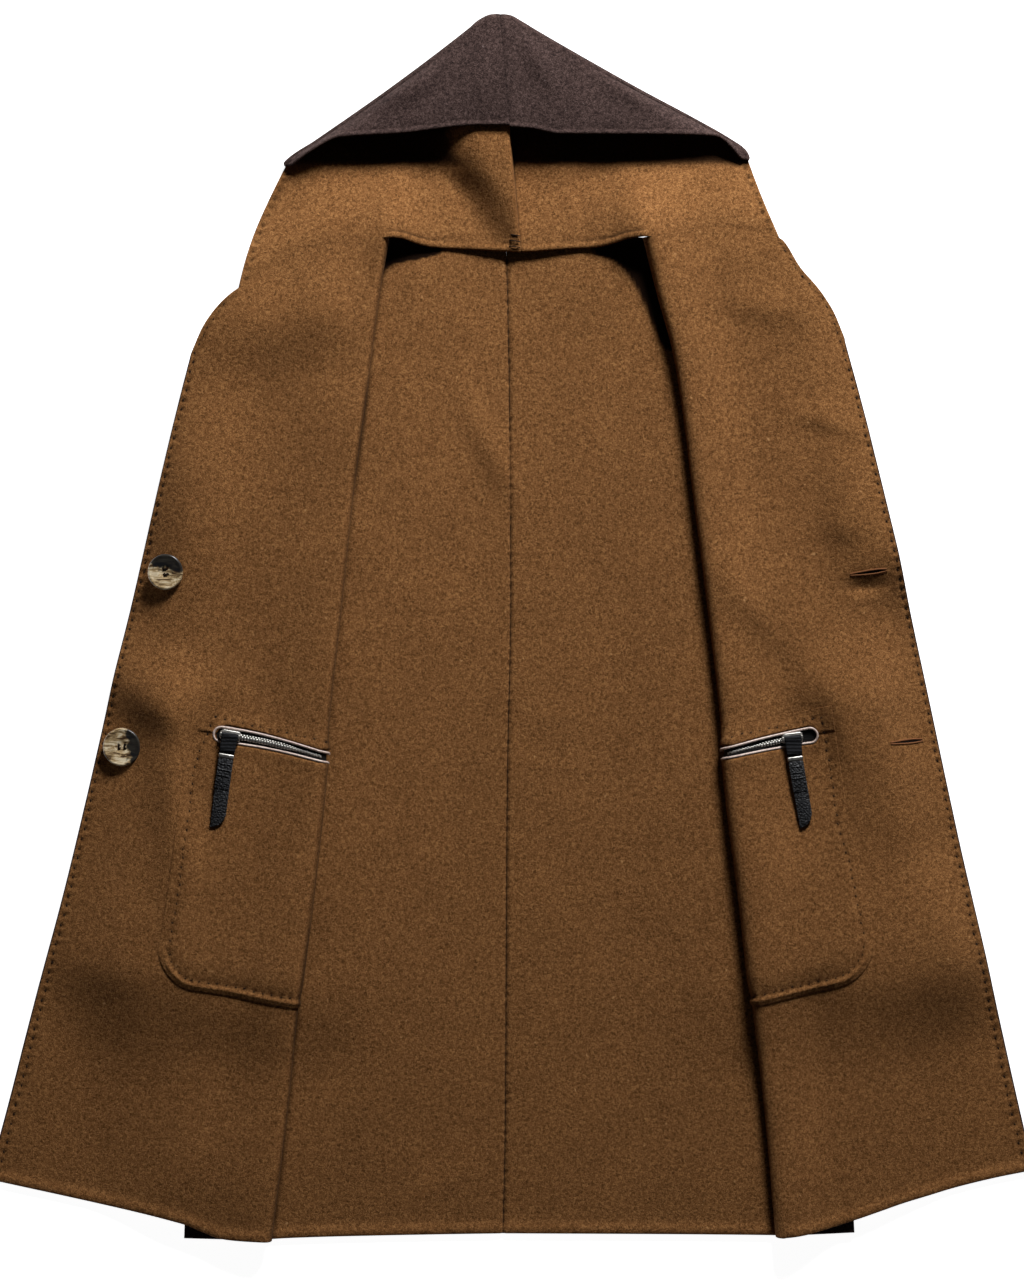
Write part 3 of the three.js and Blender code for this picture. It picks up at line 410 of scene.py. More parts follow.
@dataclass
class StitchLine:
    """A row of hand pick stitches that follows an edge of the cloth.

    path is the edge in plan, inward is 1 where the cloth is to the left of the path and -1
    where it is to the right, and inset is how far in from the edge the stitches are.
    """

    path: Points
    inward: int
    inset: float = 4.0
    first_inset: float | None = None  # at the path's start, when the stitches drift inward there
    settle: float = 420.0
    pitch: float = STITCH_PITCH
    deep: float = 1.0
    mark: float = 0.75  # how much shade is painted into each dimple
    seed: float = 0.0

    def __post_init__(self) -> None:
        """Measures the path."""
        self.lengths = lengths_along(self.path)

    def measure(self, x: Points, y: Points) -> tuple[Points, Points]:
        """Finds places along the path and away from it.

        Args:
            x: Places across, in plan.
            y: Places along, in plan.

        Returns:
            Distance along the path of the nearest point, and the distance to it.
        """
        spots = np.stack([np.ravel(x), np.ravel(y)], axis=-1)
        along, apart = np.empty(len(spots)), np.empty(len(spots))
        start, run = self.path[:-1], np.diff(self.path, axis=0)
        square = np.maximum((run**2).sum(axis=1), 1e-9)
        batch = 4000  # places measured at once
        for first in range(0, len(spots), batch):
            part = spots[first : first + batch]
            offset = part[:, None] - start[None]
            share = np.clip((offset * run).sum(axis=-1) / square, 0, 1)
            gap = np.linalg.norm(offset - share[..., None] * run, axis=-1)
            nearest = gap.argmin(axis=1)
            each = np.arange(len(part))
            apart[first : first + batch] = gap[each, nearest]
            reach = np.sqrt(square)[nearest] * share[each, nearest]
            along[first : first + batch] = self.lengths[nearest] + reach
        return along.reshape(np.shape(x)), apart.reshape(np.shape(x))

    def inset_at(self, along: Points) -> Points:
        """How far in from the edge the stitches are, at distances along it."""
        first = self.inset if self.first_inset is None else self.first_inset
        return mix(first, self.inset, ease(along / self.settle))

    def wander(self, number: Points) -> Points:
        """How far each stitch strays from the line, in millimetres."""
        return 0.45 * np.sin(number * 2.3 + self.seed) + 0.3 * np.sin(number * 0.71 + 1 + self.seed)

    def depth(self, x: Points, y: Points) -> tuple[Points, Points]:
        """Finds how the stitches dent the face of the cloth and paint shade into it.

        Args:
            x: Places across, in plan.
            y: Places along, in plan.

        Returns:
            How deep the face is pulled in, and how much shade is painted into it.
        """
        along, apart = self.measure(x, y)
        number = np.round(along / self.pitch)
        stray = self.wander(number)
        deep = 0.78 + 0.22 * np.sin(number * 1.7 + 2 + self.seed)
        past = along - number * self.pitch - stray * 0.8
        across = apart - self.inset_at(along) - stray
        dimple = deep * np.exp(-((past / 1.9) ** 2) - (across / 1.7) ** 2)
        pucker = 0.3 * np.cos(2 * math.pi * past / self.pitch) * bell(across, 0, 3.2)
        furrow = 0.3 * bell(across, 0, 2.4)
        ends = ease(along / 6) * ease((self.lengths[-1] - along) / 6)
        return self.deep * (0.85 * dimple + pucker + furrow) * ends, self.mark * dimple * ends

    def on_grid(self, points: Points, near: Points) -> tuple[Points, Points]:
        """Depth and painted shade on a grid of points, worked out only where near is true.

        Args:
            points: Places in plan, in rows and columns.
            near: True where the line may reach.

        Returns:
            Depth and painted shade at each point, nothing where near is false.
        """
        deep, pressed = np.zeros(near.shape), np.zeros(near.shape)
        deep[near], pressed[near] = self.depth(points[near][:, 0], points[near][:, 1])
        return deep, pressed

    def places(self) -> tuple[Points, Points]:
        """Where the stitches are, in plan, and which way each one runs.

        Returns:
            Middles and directions, one row for each stitch.
        """
        number = np.arange(1, int(self.lengths[-1] / self.pitch))
        stray = self.wander(number)
        along = number * self.pitch + stray * 0.8
        spot, ahead = (path_at(self.path, self.lengths, place) for place in (along, along + 1))
        run = unit(ahead - spot)
        inner = np.stack([-run[:, 1], run[:, 0]], axis=-1) * self.inward
        return spot + inner * (self.inset_at(along) + stray)[:, None], run


def outlined(path: Points, pitch: float = 4.0) -> Points:
    """A path in plan with points close to pitch apart.

    Args:
        path: Its corner points.
        pitch: The spacing wanted.

    Returns:
        The closer points.
    """
    lengths = lengths_along(path)
    at = np.linspace(0, lengths[-1], max(2, int(lengths[-1] / pitch)))
    return path_at(path, lengths, at)


def tube(
    path: Points,
    across: Points,
    upward: Points,
    width: Points | float,
    height: Points | float,
    round_steps: int = 8,
) -> tuple[Points, Points]:
    """A tube of elliptic section along a path, closed at both ends.

    Args:
        path: Its centre line.
        across: The direction of its width, or one for each point.
        upward: The direction of its height, or one for each point.
        width: Half its width.
        height: Half its height.
        round_steps: Points round the section.

    Returns:
        Its points and its faces.
    """
    angles = np.arange(round_steps) * 2 * math.pi / round_steps
    width, height = (np.broadcast_to(size, len(path))[:, None, None] for size in (width, height))
    across, upward = (np.broadcast_to(way, path.shape)[:, None] for way in (across, upward))
    ring = path[:, None] + across * np.cos(angles)[:, None] * width + upward * np.sin(angles)[:, None] * height
    vertices = ring.reshape(-1, 3)
    faces = quads(len(path), round_steps, close=True)
    last = len(vertices)
    vertices = np.concatenate([vertices, path[:1], path[-1:]])
    ends = []
    for k in range(round_steps):
        after = (k + 1) % round_steps
        ends.append([last, after, k, k])
        ends.append([last + 1, last - round_steps + k, last - round_steps + after, last - round_steps + after])
    return vertices, np.concatenate([faces, np.array(ends)])


def join(parts: Sequence[Part]) -> tuple[Points, list[list[int]]]:
    """Joins several sets of points and faces into one.

    Args:
        parts: Points and faces of each part.

    Returns:
        All the points, and faces without repeated corners.
    """
    vertices, faces, count = [], [], 0
    for points, corners in parts:
        vertices.append(points)
        faces.extend(list(dict.fromkeys(int(n) + count for n in face)) for face in corners)
        count += len(points)
    return np.concatenate(vertices), faces


def recalculate(piece: bpy.types.Object) -> None:
    """Turns a closed mesh's faces outward.

    Args:
        piece: The object to change.
    """
    work = bmesh.new()
    work.from_mesh(piece.data)
    bmesh.ops.recalc_face_normals(work, faces=work.faces)
    work.to_mesh(piece.data)
    work.free()


def settle(piece: bpy.types.Object, slot: str, node: str | None = None, body: str = "coat") -> bpy.types.Object:
    """Puts a piece on its body.

    Args:
        piece: The piece.
        slot: The slot of its finish; not used.
        node: The frame's node that it takes the place of, if there is one.
        body: The body that it moves with.

    Returns:
        The same piece.
    """
    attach(piece, body)
    if node:
        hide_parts(node)
    return piece


def add_piece(
    name: str,
    parts: Sequence[Part],
    finish: bpy.types.Material,
    slot: str,
    node: str | None = None,
    body: str = "coat",
    pressed: Points | None = None,
) -> bpy.types.Object:
    """Makes a solid piece from closed parts and puts it on its body.

    Args:
        name: The piece's name.
        parts: Points and faces of each part.
        finish: Its material.
        slot: The slot of its finish.
        node: The frame's node that it takes the place of, if there is one.
        body: The body that it moves with.
        pressed: How much shade is painted on each point.

    Returns:
        The piece.
    """
    vertices, faces = join(parts)
    piece = make_mesh(name, vertices, faces, (finish,), pressed=pressed)
    recalculate(piece)
    return settle(piece, slot, node, body)


# ---------------------------------------------------------------- finishes


def srgb(code: str) -> tuple[float, float, float, float]:
    """Turns an sRGB hex colour into linear values.

    Args:
        code: Six hex digits.

    Returns:
        Red, green, blue and one for alpha.
    """
    channels = [int(code[i : i + 2], 16) / 255 for i in (0, 2, 4)]
    linear = [c / 12.92 if c <= 0.04045 else ((c + 0.055) / 1.055) ** 2.4 for c in channels]
    return (*linear, 1.0)


def feed(tree: bpy.types.NodeTree, node: bpy.types.Node, inputs: dict) -> None:
    """Gives a node its inputs.

    Args:
        tree: The material's node tree.
        node: The node.
        inputs: A value, another node or its output for each named or numbered input.
    """
    for key, value in inputs.items():
        if isinstance(value, bpy.types.Node):
            value = value.outputs[0]
        if isinstance(value, bpy.types.NodeSocket):
            tree.links.new(value, node.inputs[key])
        else:
            node.inputs[key].default_value = value


def add_node(
    tree: bpy.types.NodeTree, kind: str, inputs: dict, stops: Sequence[tuple[float, str]] = (), **settings
) -> bpy.types.Node:
    """Adds a node with its settings and links.

    Args:
        tree: The material's node tree.
        kind: The node's type, after "ShaderNode".
        inputs: What each input is fed with.
        stops: Places and colours of a colour ramp, in order.
        **settings: Attributes of the node.

    Returns:
        The node.
    """
    made = tree.nodes.new(f"ShaderNode{kind}")
    for key, value in settings.items():
        setattr(made, key, value)
    for number, (position, code) in enumerate(stops):
        elements = made.color_ramp.elements
        stop = elements[0] if number == 0 else elements[-1] if number == len(stops) - 1 else elements.new(position)
        stop.position, stop.color = position, srgb(code)
    feed(tree, made, inputs)
    return made


def new_material(name: str) -> tuple[bpy.types.Material, bpy.types.NodeTree, bpy.types.Node]:
    """An empty material with its shader linked to its output.

    Args:
        name: Name of the material.

    Returns:
        The material, its node tree and its shader.
    """
    material = bpy.data.materials.new(name)
    material.use_nodes = True
    tree = material.node_tree
    tree.nodes.clear()
    shader = add_node(tree, "BsdfPrincipled", {})
    add_node(tree, "OutputMaterial", {"Surface": shader})
    return material, tree, shader


def per_metre(millimetres: float) -> float:
    """Scale of a pattern whose marks are this many millimetres apart."""
    return 1000.0 / millimetres


@dataclass(frozen=True)
class Finish:
    """A material whose pattern is fixed to the coat."""

    name: str

    def look(self, tree: bpy.types.NodeTree, place: bpy.types.NodeSocket) -> dict:
        """What the shader is fed with.

        Args:
            tree: Node tree of the material.
            place: Socket with the place on the coat, in its own frame.

        Returns:
            What goes on the shader's sockets, by their names.
        """
        raise NotImplementedError

    def build(self) -> bpy.types.Material:
        """Makes the material.

        Returns:
            The material.
        """
        material, tree, shader = new_material(self.name)
        place = add_node(tree, "TexCoord", {}).outputs["Object"]
        feed(tree, shader, self.look(tree, place))
        return material


@dataclass(frozen=True)
class FeltedWool(Finish):
    """Double-faced wool, woven, then milled and press-finished: matt, with a short curly nap.

    The milling hides the weave, so the eye sees small worm-like light and dark marks where
    tufts of fibre stand up, a few pale flecks, soft clouds of tone from pressing, and a faint
    bloom at low angles. Painted shade darkens the colour where shade falls in folds and hollows.
    """

    base: str
    dark: str
    light: str
    bloom_tint: str
    # colour of the painted shade
    crease: str
    nap: float = 2.5  # tufts, millimetres apart
    fibre: float = 2.5 / 1.9  # single hairs, millimetres apart
    fleck: float = 5.0  # lighter and darker flecks, millimetres apart
    cloud: float = 55.0  # broad patches, millimetres apart
    tuft_height: float = 0.0011  # metres
    bloom: float = 0.05
    contrast: float = 0.104  # half the range of noise that goes from dark to light

    def look(self, tree: bpy.types.NodeTree, place: bpy.types.NodeSocket) -> dict:
        """What the shader is fed with.

        Args:
            tree: Node tree of the material.
            place: Socket with the place on the coat, in its own frame.

        Returns:
            What goes on the shader's sockets, by their names.
        """
        tufts = add_node(tree, "TexNoise", {
            "Vector": place, "Scale": per_metre(self.nap), "Detail": 4.0, "Roughness": 0.62, "Distortion": 0.9
        })
        fibres = add_node(tree, "TexNoise", {
            "Vector": place, "Scale": per_metre(self.fibre), "Detail": 2.0, "Roughness": 0.6, "Distortion": 1.8
        })
        clouds = add_node(tree, "TexNoise", {
            "Vector": place, "Scale": per_metre(self.cloud), "Detail": 3.0, "Roughness": 0.55
        })
        both = add_node(tree, "Math", {0: tufts, 1: fibres}, operation="ADD")
        tone = add_node(tree, "Math", {0: both, 1: 0.5}, operation="MULTIPLY")
        stops = ((0.5 - self.contrast, self.dark), (0.5, self.base), (0.5 + self.contrast, self.light))
        ramp = add_node(tree, "ValToRGB", {"Fac": tone}, stops)
        shade = add_node(tree, "MapRange", {
            "Value": clouds, "From Min": 0.3, "From Max": 0.7, "To Min": 0.93, "To Max": 1.07
        })
        coloured = add_node(tree, "Mix", {0: 1.0, 6: ramp, 7: shade}, data_type="RGBA", blend_type="MULTIPLY")
        specks = add_node(tree, "TexNoise", {"Vector": place, "Scale": per_metre(self.fleck), "Detail": 1.0})
        fleck = add_node(tree, "MapRange", {
            "Value": specks, "From Min": 0.77, "From Max": 0.82, "To Min": 0.0, "To Max": 0.5
        })
        flecked = add_node(tree, "Mix", {
            0: fleck, 6: coloured.outputs[2], 7: srgb(self.bloom_tint)
        }, data_type="RGBA")
        # painted shade: the mesh's pressed attribute darkens the colour towards the shade colour
        crease = add_node(tree, "Attribute", {}, attribute_name="pressed").outputs["Fac"]
        shade_painted = add_node(tree, "Mix", {
            0: crease, 6: flecked.outputs[2], 7: srgb(self.crease)
        }, data_type="RGBA")
        bump = add_node(tree, "Bump", {"Height": tone, "Strength": 1.0, "Distance": self.tuft_height})
        return {
            "Base Color": shade_painted.outputs[2], "Normal": bump, "Roughness": 0.95, "Specular IOR Level": 0.08,
            "Sheen Weight": self.bloom, "Sheen Roughness": 0.6, "Sheen Tint": srgb(self.bloom_tint),
        }


@dataclass(frozen=True)
class SatinPiping(Finish):
    """Pale satin folded over a cord: smooth, so it shows a soft long gleam along its crown."""

    slub: float = 1.4  # millimetres apart

    def look(self, tree: bpy.types.NodeTree, place: bpy.types.NodeSocket) -> dict:
        """What the shader is fed with.

        Args:
            tree: Node tree of the material.
            place: Socket with the place on the coat, in its own frame.

        Returns:
            What goes on the shader's sockets, by their names.
        """
        slubs = add_node(tree, "TexNoise", {"Vector": place, "Scale": per_metre(self.slub), "Detail": 2.0})
        ramp = add_node(tree, "ValToRGB", {"Fac": slubs}, ((0.36, "ab9389"), (0.58, "d2bfb4")))
        bump = add_node(tree, "Bump", {"Height": slubs, "Strength": 0.3, "Distance": 0.0003})
        return {"Base Color": ramp, "Normal": bump, "Roughness": 0.42, "Sheen Weight": 0.2}


@dataclass(frozen=True)
class WovenCloth(Finish):
    """Close-woven dark polyester, press-flattened or ribbed: matt black with fine raised ribs.

    The ribs are coarser than real ones, which would be too fine to show.
    """

    base: str
    light: str
    rib: float  # millimetres from the middle of a rib to the middle of a groove
    wear: float = 1.1  # worn spots, millimetres apart

    def look(self, tree: bpy.types.NodeTree, place: bpy.types.NodeSocket) -> dict:
        """What the shader is fed with.

        Args:
            tree: Node tree of the material.
            place: Socket with the place on the coat, in its own frame.

        Returns:
            What goes on the shader's sockets, by their names.
        """
        ribs = add_node(tree, "TexWave", {
            "Vector": place, "Scale": per_metre(self.rib) / 20 * math.pi, "Distortion": 1.2, "Detail": 1.0,
            "Detail Scale": 3.0,
        }, wave_type="BANDS", bands_direction="Y").outputs["Fac"]
        wear = add_node(tree, "TexNoise", {"Vector": place, "Scale": per_metre(self.wear), "Detail": 2.0})
        both = add_node(tree, "Math", {0: ribs, 1: wear}, operation="MULTIPLY")
        ramp = add_node(tree, "ValToRGB", {"Fac": both}, ((0.1, self.base), (0.62, self.light)))
        bump = add_node(tree, "Bump", {"Height": both, "Strength": 0.7, "Distance": 0.0005})
        return {"Base Color": ramp, "Normal": bump, "Roughness": 0.85, "Specular IOR Level": 0.25}


@dataclass(frozen=True)
class PolishedNickel(Finish):
    """Nickel plate over die-cast metal, tumbled bright: sharp gleams with a little handling haze."""

    haze: float = 2.0  # millimetres apart

    def look(self, tree: bpy.types.NodeTree, place: bpy.types.NodeSocket) -> dict:
        """What the shader is fed with.

        Args:
            tree: Node tree of the material.
            place: Socket with the place on the coat, in its own frame.

        Returns:
            What goes on the shader's sockets, by their names.
        """
        haze = add_node(tree, "TexNoise", {"Vector": place, "Scale": per_metre(self.haze), "Detail": 3.0})
        rough = add_node(tree, "MapRange", {
            "Value": haze, "From Min": 0.3, "From Max": 0.7, "To Min": 0.3, "To Max": 0.5
        })
        return {"Roughness": rough, "Base Color": srgb("cfccc6"), "Metallic": 1.0}


@dataclass(frozen=True)
class GrainedStrap(Finish):
    """Coated strap with a press-embossed leather grain: dark, half matt, small gleams on its pebbles.

    The grain is coarser than a real one, which would be too fine to show.
    """

    pebble: float = 1.5  # millimetres apart

    def look(self, tree: bpy.types.NodeTree, place: bpy.types.NodeSocket) -> dict:
        """What the shader is fed with.

        Args:
            tree: Node tree of the material.
            place: Socket with the place on the coat, in its own frame.

        Returns:
            What goes on the shader's sockets, by their names.
        """
        pebbles = add_node(tree, "TexVoronoi", {
            "Vector": place, "Scale": per_metre(self.pebble)
        }, feature="SMOOTH_F1").outputs["Distance"]
        ramp = add_node(tree, "ValToRGB", {"Fac": pebbles}, ((0.15, "2b2c30"), (0.6, "0e0e10")))
        bump = add_node(tree, "Bump", {"Height": pebbles, "Strength": 1.0, "Distance": 0.0009}, invert=True)
        return {"Base Color": ramp, "Normal": bump, "Roughness": 0.55}


@dataclass(frozen=True)
class PolishedHorn(Finish):
    """Horn cut from near the tip, turned and polished: cream, streaked brown, with a dark heart.

    Growth layers give wavy streaks, and a dark blue-grey layer comes in from one side of the
    disc. dark_from and the direction say how much of it the dark layer covers.
    """

    centre: tuple[float, float]
    radius: float
    towards: float
    dark_from: float
    wave: float = 9.0  # the horn's growth bands, millimetres apart
    streak: float = 3.4  # millimetres apart
    streak_turn: float = 8.0

    def look(self, tree: bpy.types.NodeTree, place: bpy.types.NodeSocket) -> dict:
        """What the shader is fed with.

        Args:
            tree: Node tree of the material.
            place: Socket with the place on the coat, in its own frame.

        Returns:
            What goes on the shader's sockets, by their names.
        """
        middle = metres(np.array([*self.centre, 0.0]))
        local = add_node(tree, "Mapping", {
            "Vector": place, "Location": (-middle[0], -middle[1], 0.0)
        }, vector_type="POINT")
        waves = add_node(tree, "TexNoise", {
            "Vector": local, "Scale": per_metre(self.wave), "Detail": 3.0, "Roughness": 0.6
        })
        turn = (0, 0, math.radians(self.streak_turn))
        turned = add_node(tree, "Mapping", {"Vector": local, "Rotation": turn, "Scale": (0.22, 1.0, 1.0)})
        streaks = add_node(tree, "TexNoise", {
            "Vector": turned, "Scale": per_metre(self.streak), "Detail": 4.0, "Roughness": 0.65, "Distortion": 0.8
        })
        ramp = add_node(tree, "ValToRGB", {"Fac": streaks}, ((0.4, "4a3522"), (0.5, "b59a70"), (0.6, "e8d8b8")))
        angle, radius = math.radians(self.towards), self.radius * MM
        apart = add_node(tree, "SeparateXYZ", {"Vector": local}).outputs
        along_x = add_node(tree, "Math", {0: apart["X"], 1: math.cos(angle) / radius}, operation="MULTIPLY")
        along_y = add_node(tree, "Math", {0: apart["Y"], 1: math.sin(angle) / radius}, operation="MULTIPLY")
        along = add_node(tree, "Math", {0: along_x, 1: along_y}, operation="ADD")
        ragged = add_node(tree, "Math", {0: waves, 1: 1.1, 2: -0.55}, operation="MULTIPLY_ADD")
        edge = add_node(tree, "Math", {0: along, 1: ragged}, operation="ADD")
        heart = add_node(tree, "MapRange", {
            "Value": edge, "From Min": self.dark_from - 0.05, "From Max": self.dark_from + 0.12,
            "To Min": 0.0, "To Max": 0.96,
        })
        coloured = add_node(tree, "Mix", {0: heart, 6: ramp, 7: srgb("14171b")}, data_type="RGBA").outputs[2]
        return {"Base Color": coloured, "Roughness": 0.28, "IOR": 1.54}


@dataclass(frozen=True)
class WaxedThread(Finish):
    """Waxed sewing thread, pulled taut: dark and dull, with a fine twist.

    The twist is coarser than a real one, which would be too fine to show.
    """

    base: str
    twist: float = 0.9  # turns of the thread, millimetres apart

    def look(self, tree: bpy.types.NodeTree, place: bpy.types.NodeSocket) -> dict:
        """What the shader is fed with.

        Args:
            tree: Node tree of the material.
            place: Socket with the place on the coat, in its own frame.

        Returns:
            What goes on the shader's sockets, by their names.
        """
        twist = add_node(tree, "TexNoise", {"Vector": place, "Scale": per_metre(self.twist), "Detail": 1.0})
        bump = add_node(tree, "Bump", {"Height": twist, "Strength": 0.4, "Distance": 0.0003})
        return {"Normal": bump, "Base Color": srgb(self.base), "Roughness": 0.8, "Specular IOR Level": 0.15}


class Finishes:
    """Every material of the coat, made once."""

    def __init__(self) -> None:
        """Builds the finishes."""
        # the last colour of each wool is its painted shade colour, for folds, dimples and hollows where shade falls
        self.wool_inner = FeltedWool("felted_wool_camel", "7f5530", "57381d", "a67749", "cf9f6b", "1d1008").build()
        self.wool_outer = FeltedWool("felted_wool_charcoal", "3a2c29", "201817", "584743", "8d7f7c", "0c0908").build()
        self.wool = (self.wool_inner, self.wool_outer)
        self.piping = SatinPiping("satin_piping").build()
        self.tape = WovenCloth("woven_zip_tape", "050505", "121211", 0.9).build()
        self.nickel = PolishedNickel("polished_nickel").build()
        self.ribbon = WovenCloth("ribbed_ribbon", "0c0c0e", "2c2d31", 1.5).build()
        self.strap = GrainedStrap("grained_strap").build()
        # the thread's dark brown is partly its own colour and partly painted shade for the pick stitches' dimples
        self.thread = WaxedThread("waxed_thread", "1b110a").build()
        self.buttonhole = WaxedThread("buttonhole_twist", "744a2c").build()


# ---------------------------------------------------------------- layers

LOWER_RAMP = (135.0, 225.0)  # heights between which the lower layers climb onto the sleeves
UPPER_RAMP = (145.0, 235.0)


def lift(y: Points, ramp: tuple[float, float]) -> Points:
    """How far the sleeves below lift a layer at a height above the hem."""
    return SLEEVE_LIFT * ease((y - ramp[0]) / (ramp[1] - ramp[0]))


@dataclass(frozen=True)
class FrontPanel:
    """One front: the ply that lies on the back, its fold, and the ply turned back outward."""

    side: Side
    roll: float
    side_hem: float
    hem_height: float
    edge_top: float
    notch: float
    area: float
    fold: Line
    edge: Line
    top: Line
    support: Line
    swells: tuple[Swell, ...]
    hem_corner: float = 54.0
    fold_low: float = 0.0
    slack: float = 0.0  # how much wider the fold's spring is above the pockets
    hem_rise: Line = Line(((0, 0), (38, 2), (77, 15.7), (163, 35), (250, 54)))
    least_drop: float = 60.0
    most_drop: float = 90.0
    corner_row: float = 0.157
    underarm_row: float = 0.787
    roll_steps: int = 12
    column: float = 4.0  # width of the grid's columns
    hem_curl: float = 1.7
    dark_edge: float = 1.2  # how much of the outer face shows round the free edge
    calm_middle: tuple[float, float] = (252.0, 404.0)  # of the level place under the zip pull
    calm: tuple[float, float] = (32.0, 66.0)  # its half axes
    slack_from: float = 450.0  # height above the hem where the slack begins
    slack_reach: float = 170.0
    corner_shade: Line = Line(((0, 400), (750, 400), (775, 130), (793, 121), (817, 111), (837, 100), (851, 86),
                               (858, 70), (880, 60)))
    tight: Line = Line(((0, 0.0), (870, 0.0)))  # how much shade is painted beside the fold, where it lies on the back

    @property
    def sign(self) -> int:
        """Which way this side's outward distances go."""
        return self.side.value

    def fold_out(self, y: Points) -> Points:
        """Distance out of the middle of the cloth at the fold's widest line."""
        return self.fold.at(y) + HALF

    def lower_z(self, y: Points) -> Points:
        """Height of the ply that lies on the back."""
        return LOWER_MIDDLE + lift(y, LOWER_RAMP)

    def relief(self, x: Points, y: Points) -> Points:
        """Height that the soft swells of the turned-back ply add.

        Args:
            x: Places across the coat.
            y: Places up the coat, from the hem.

        Returns:
            Heights at the places.
        """
        total = np.zeros(np.broadcast(x, y).shape)
        for swell in self.swells:
            total = total + swell.at(x, y)
        away = ((np.abs(x) - self.calm_middle[0]) / self.calm[0]) ** 2
        away = away + ((y - self.calm_middle[1]) / self.calm[1]) ** 2
        return total * (1 - np.exp(-(away**2)))

    def upper_z(self, out: Points, y: Points) -> Points:
        """Height of the turned-back ply.

        Args:
            out: Distance out from the centre line.
            y: Height above the hem.

        Returns:
            Height of the middle of the cloth above the floor.
        """
        support = self.support.at(y)
        drop = np.clip(self.edge.at(y) - support, self.least_drop, self.most_drop)
        held = 1 - ease((out - support) / drop)
        spring = 2 * self.roll - (UPPER_MIDDLE - LOWER_MIDDLE)
        from_fold = out - self.fold_out(y)
        reach = FOLD_SETTLE + self.slack * ease((y - self.slack_from) / self.slack_reach)
        settled = ease((from_fold - self.roll) / (reach - self.roll))
        middle = UPPER_MIDDLE + lift(y, UPPER_RAMP) + spring * (1 - settled)
        return mix(HALF, middle, held) + self.relief(self.sign * out, y)

    def surface(self, past: Points, y: Points) -> Points:
        """A point on the middle of the cloth, from the upper ply round the fold.

        Args:
            past: Distance from the top of the fold's roll; below zero it goes round the roll.
            y: Height above the hem.

        Returns:
            The points, in the lay.
        """
        past, y = np.broadcast_arrays(np.asarray(past, float), np.asarray(y, float))
        crown = self.fold_out(y) + self.roll
        angle = np.clip(-past / self.roll, 0, math.pi)
        out = crown + np.where(past >= 0, past, -self.roll * np.sin(angle))
        above = self.upper_z(np.maximum(out, crown), y)
        below = self.lower_z(y)
        z = np.where(past >= 0, above, mix(below, above, (1 + np.cos(angle)) / 2))
        return stack(self.sign * out, y, z)

    def past_of(self, out: Points, y: Points) -> Points:
        """Distance past the top of the roll of a place in plan, for the surface.

        Args:
            out: Distances out from the middle.
            y: Places up the coat, from the hem.

        Returns:
            Distances past the top of the roll.
        """
        beyond = out - self.fold_out(y) - self.roll
        turned = -self.roll * np.arcsin(np.clip(-beyond / self.roll, 0, 1))
        return np.where(beyond >= 0, beyond, turned)

    def normal(self, past: Points, y: Points) -> Points:
        """Unit normals of the surface, out of its inner face.

        Args:
            past: Distances past the top of the roll.
            y: Places up the coat, from the hem.

        Returns:
            Unit directions.
        """
        step = 0.4  # millimetres to each side
        across = self.surface(past + step, y) - self.surface(past - step, y)
        along = self.surface(past, y + step) - self.surface(past, y - step)
        return unit(np.cross(across, along)) * self.sign

    def beside_fold(self, out: Points, y: Points) -> Points:
        """How much shade is painted beside the fold, where it bears on the back."""
        return self.tight.at(y) * (1 - ease((out - self.fold_out(y) + 1.0) / 4.6))

    def above(self, out: Points, y: Points, height: Points | float) -> Points:
        """Points over the front, given in plan, a distance off the middle of its cloth."""
        past = self.past_of(out, y)
        return self.surface(past, y) + self.normal(past, y) * np.asarray(height)[..., None]

    def stitch_line(self) -> StitchLine:
        """The pick stitches along the free edge, from the hem corner over the top corner.

        Returns:
            The line of stitches.
        """
        y = np.linspace(self.hem_corner, self.edge_top, 60)
        edge = np.stack([self.edge.at(y), y], axis=-1)
        out = np.linspace(float(edge[-1, 0]), self.notch, 14)[1:]
        corner = np.stack([out, self.top.at(out)], axis=-1)
        path = outlined(np.concatenate([edge, corner]))
        path[:, 0] *= self.sign
        return StitchLine(path, self.sign, inset=3.8, first_inset=7.6, seed=1.3 * self.sign)

    def rows(self) -> Points:
        """Rows of the grid, from hem to top, a whole number of them to each stitch of the edge.

        Returns:
            Shares of the height, rising from 0 to 1.
        """
        across = self.edge.at(self.hem_corner) - self.edge.at(self.edge_top)
        length = math.hypot(self.edge_top - self.hem_corner, across)
        count = round(length / STITCH_PITCH) * ROWS_PER_STITCH
        regular = np.linspace(0, 1, count + 1)
        near = np.array(NEAR_EDGE) / NECK_HEIGHT
        keep = regular[(regular > near[-1] + 0.001) & (regular < 1 - near[4] - 0.001)]
        return np.concatenate([near, keep, 1 - near[:5][::-1]])

    def fold_height(self, v: Points) -> Points:
        """Height of the fold above the hem at each row."""
        return mix(self.fold_low, NECK_HEIGHT, v)

    def upper_place(self, out: Points, v: Points) -> Points:
        """Height above the hem of a point of the turned-back ply.

        Args:
            out: Distance out.
            v: Row, from 0 at the hem to 1 at the top.

        Returns:
            Its height above the hem.
        """
        edge_height = mix(self.hem_corner, self.edge_top, v)
        edge_out = self.edge.at(edge_height)
        fold_height = self.fold_height(v)
        fold_out = self.fold_out(fold_height)
        share = (out - fold_out) / (edge_out - fold_out)
        straight = mix(fold_height, edge_height, share)
        rise = self.hem_rise.at(out - fold_out) - mix(self.fold_low, self.hem_corner, share)
        hem = rise * np.clip(1 - v / self.corner_row, 0, 1)
        top_line = mix(NECK_HEIGHT, self.edge_top, share)
        reach = np.clip((v - self.underarm_row) / (1 - self.underarm_row), 0, 1)
        return straight + hem + (self.top.at(out) - 0.02 - top_line) * reach

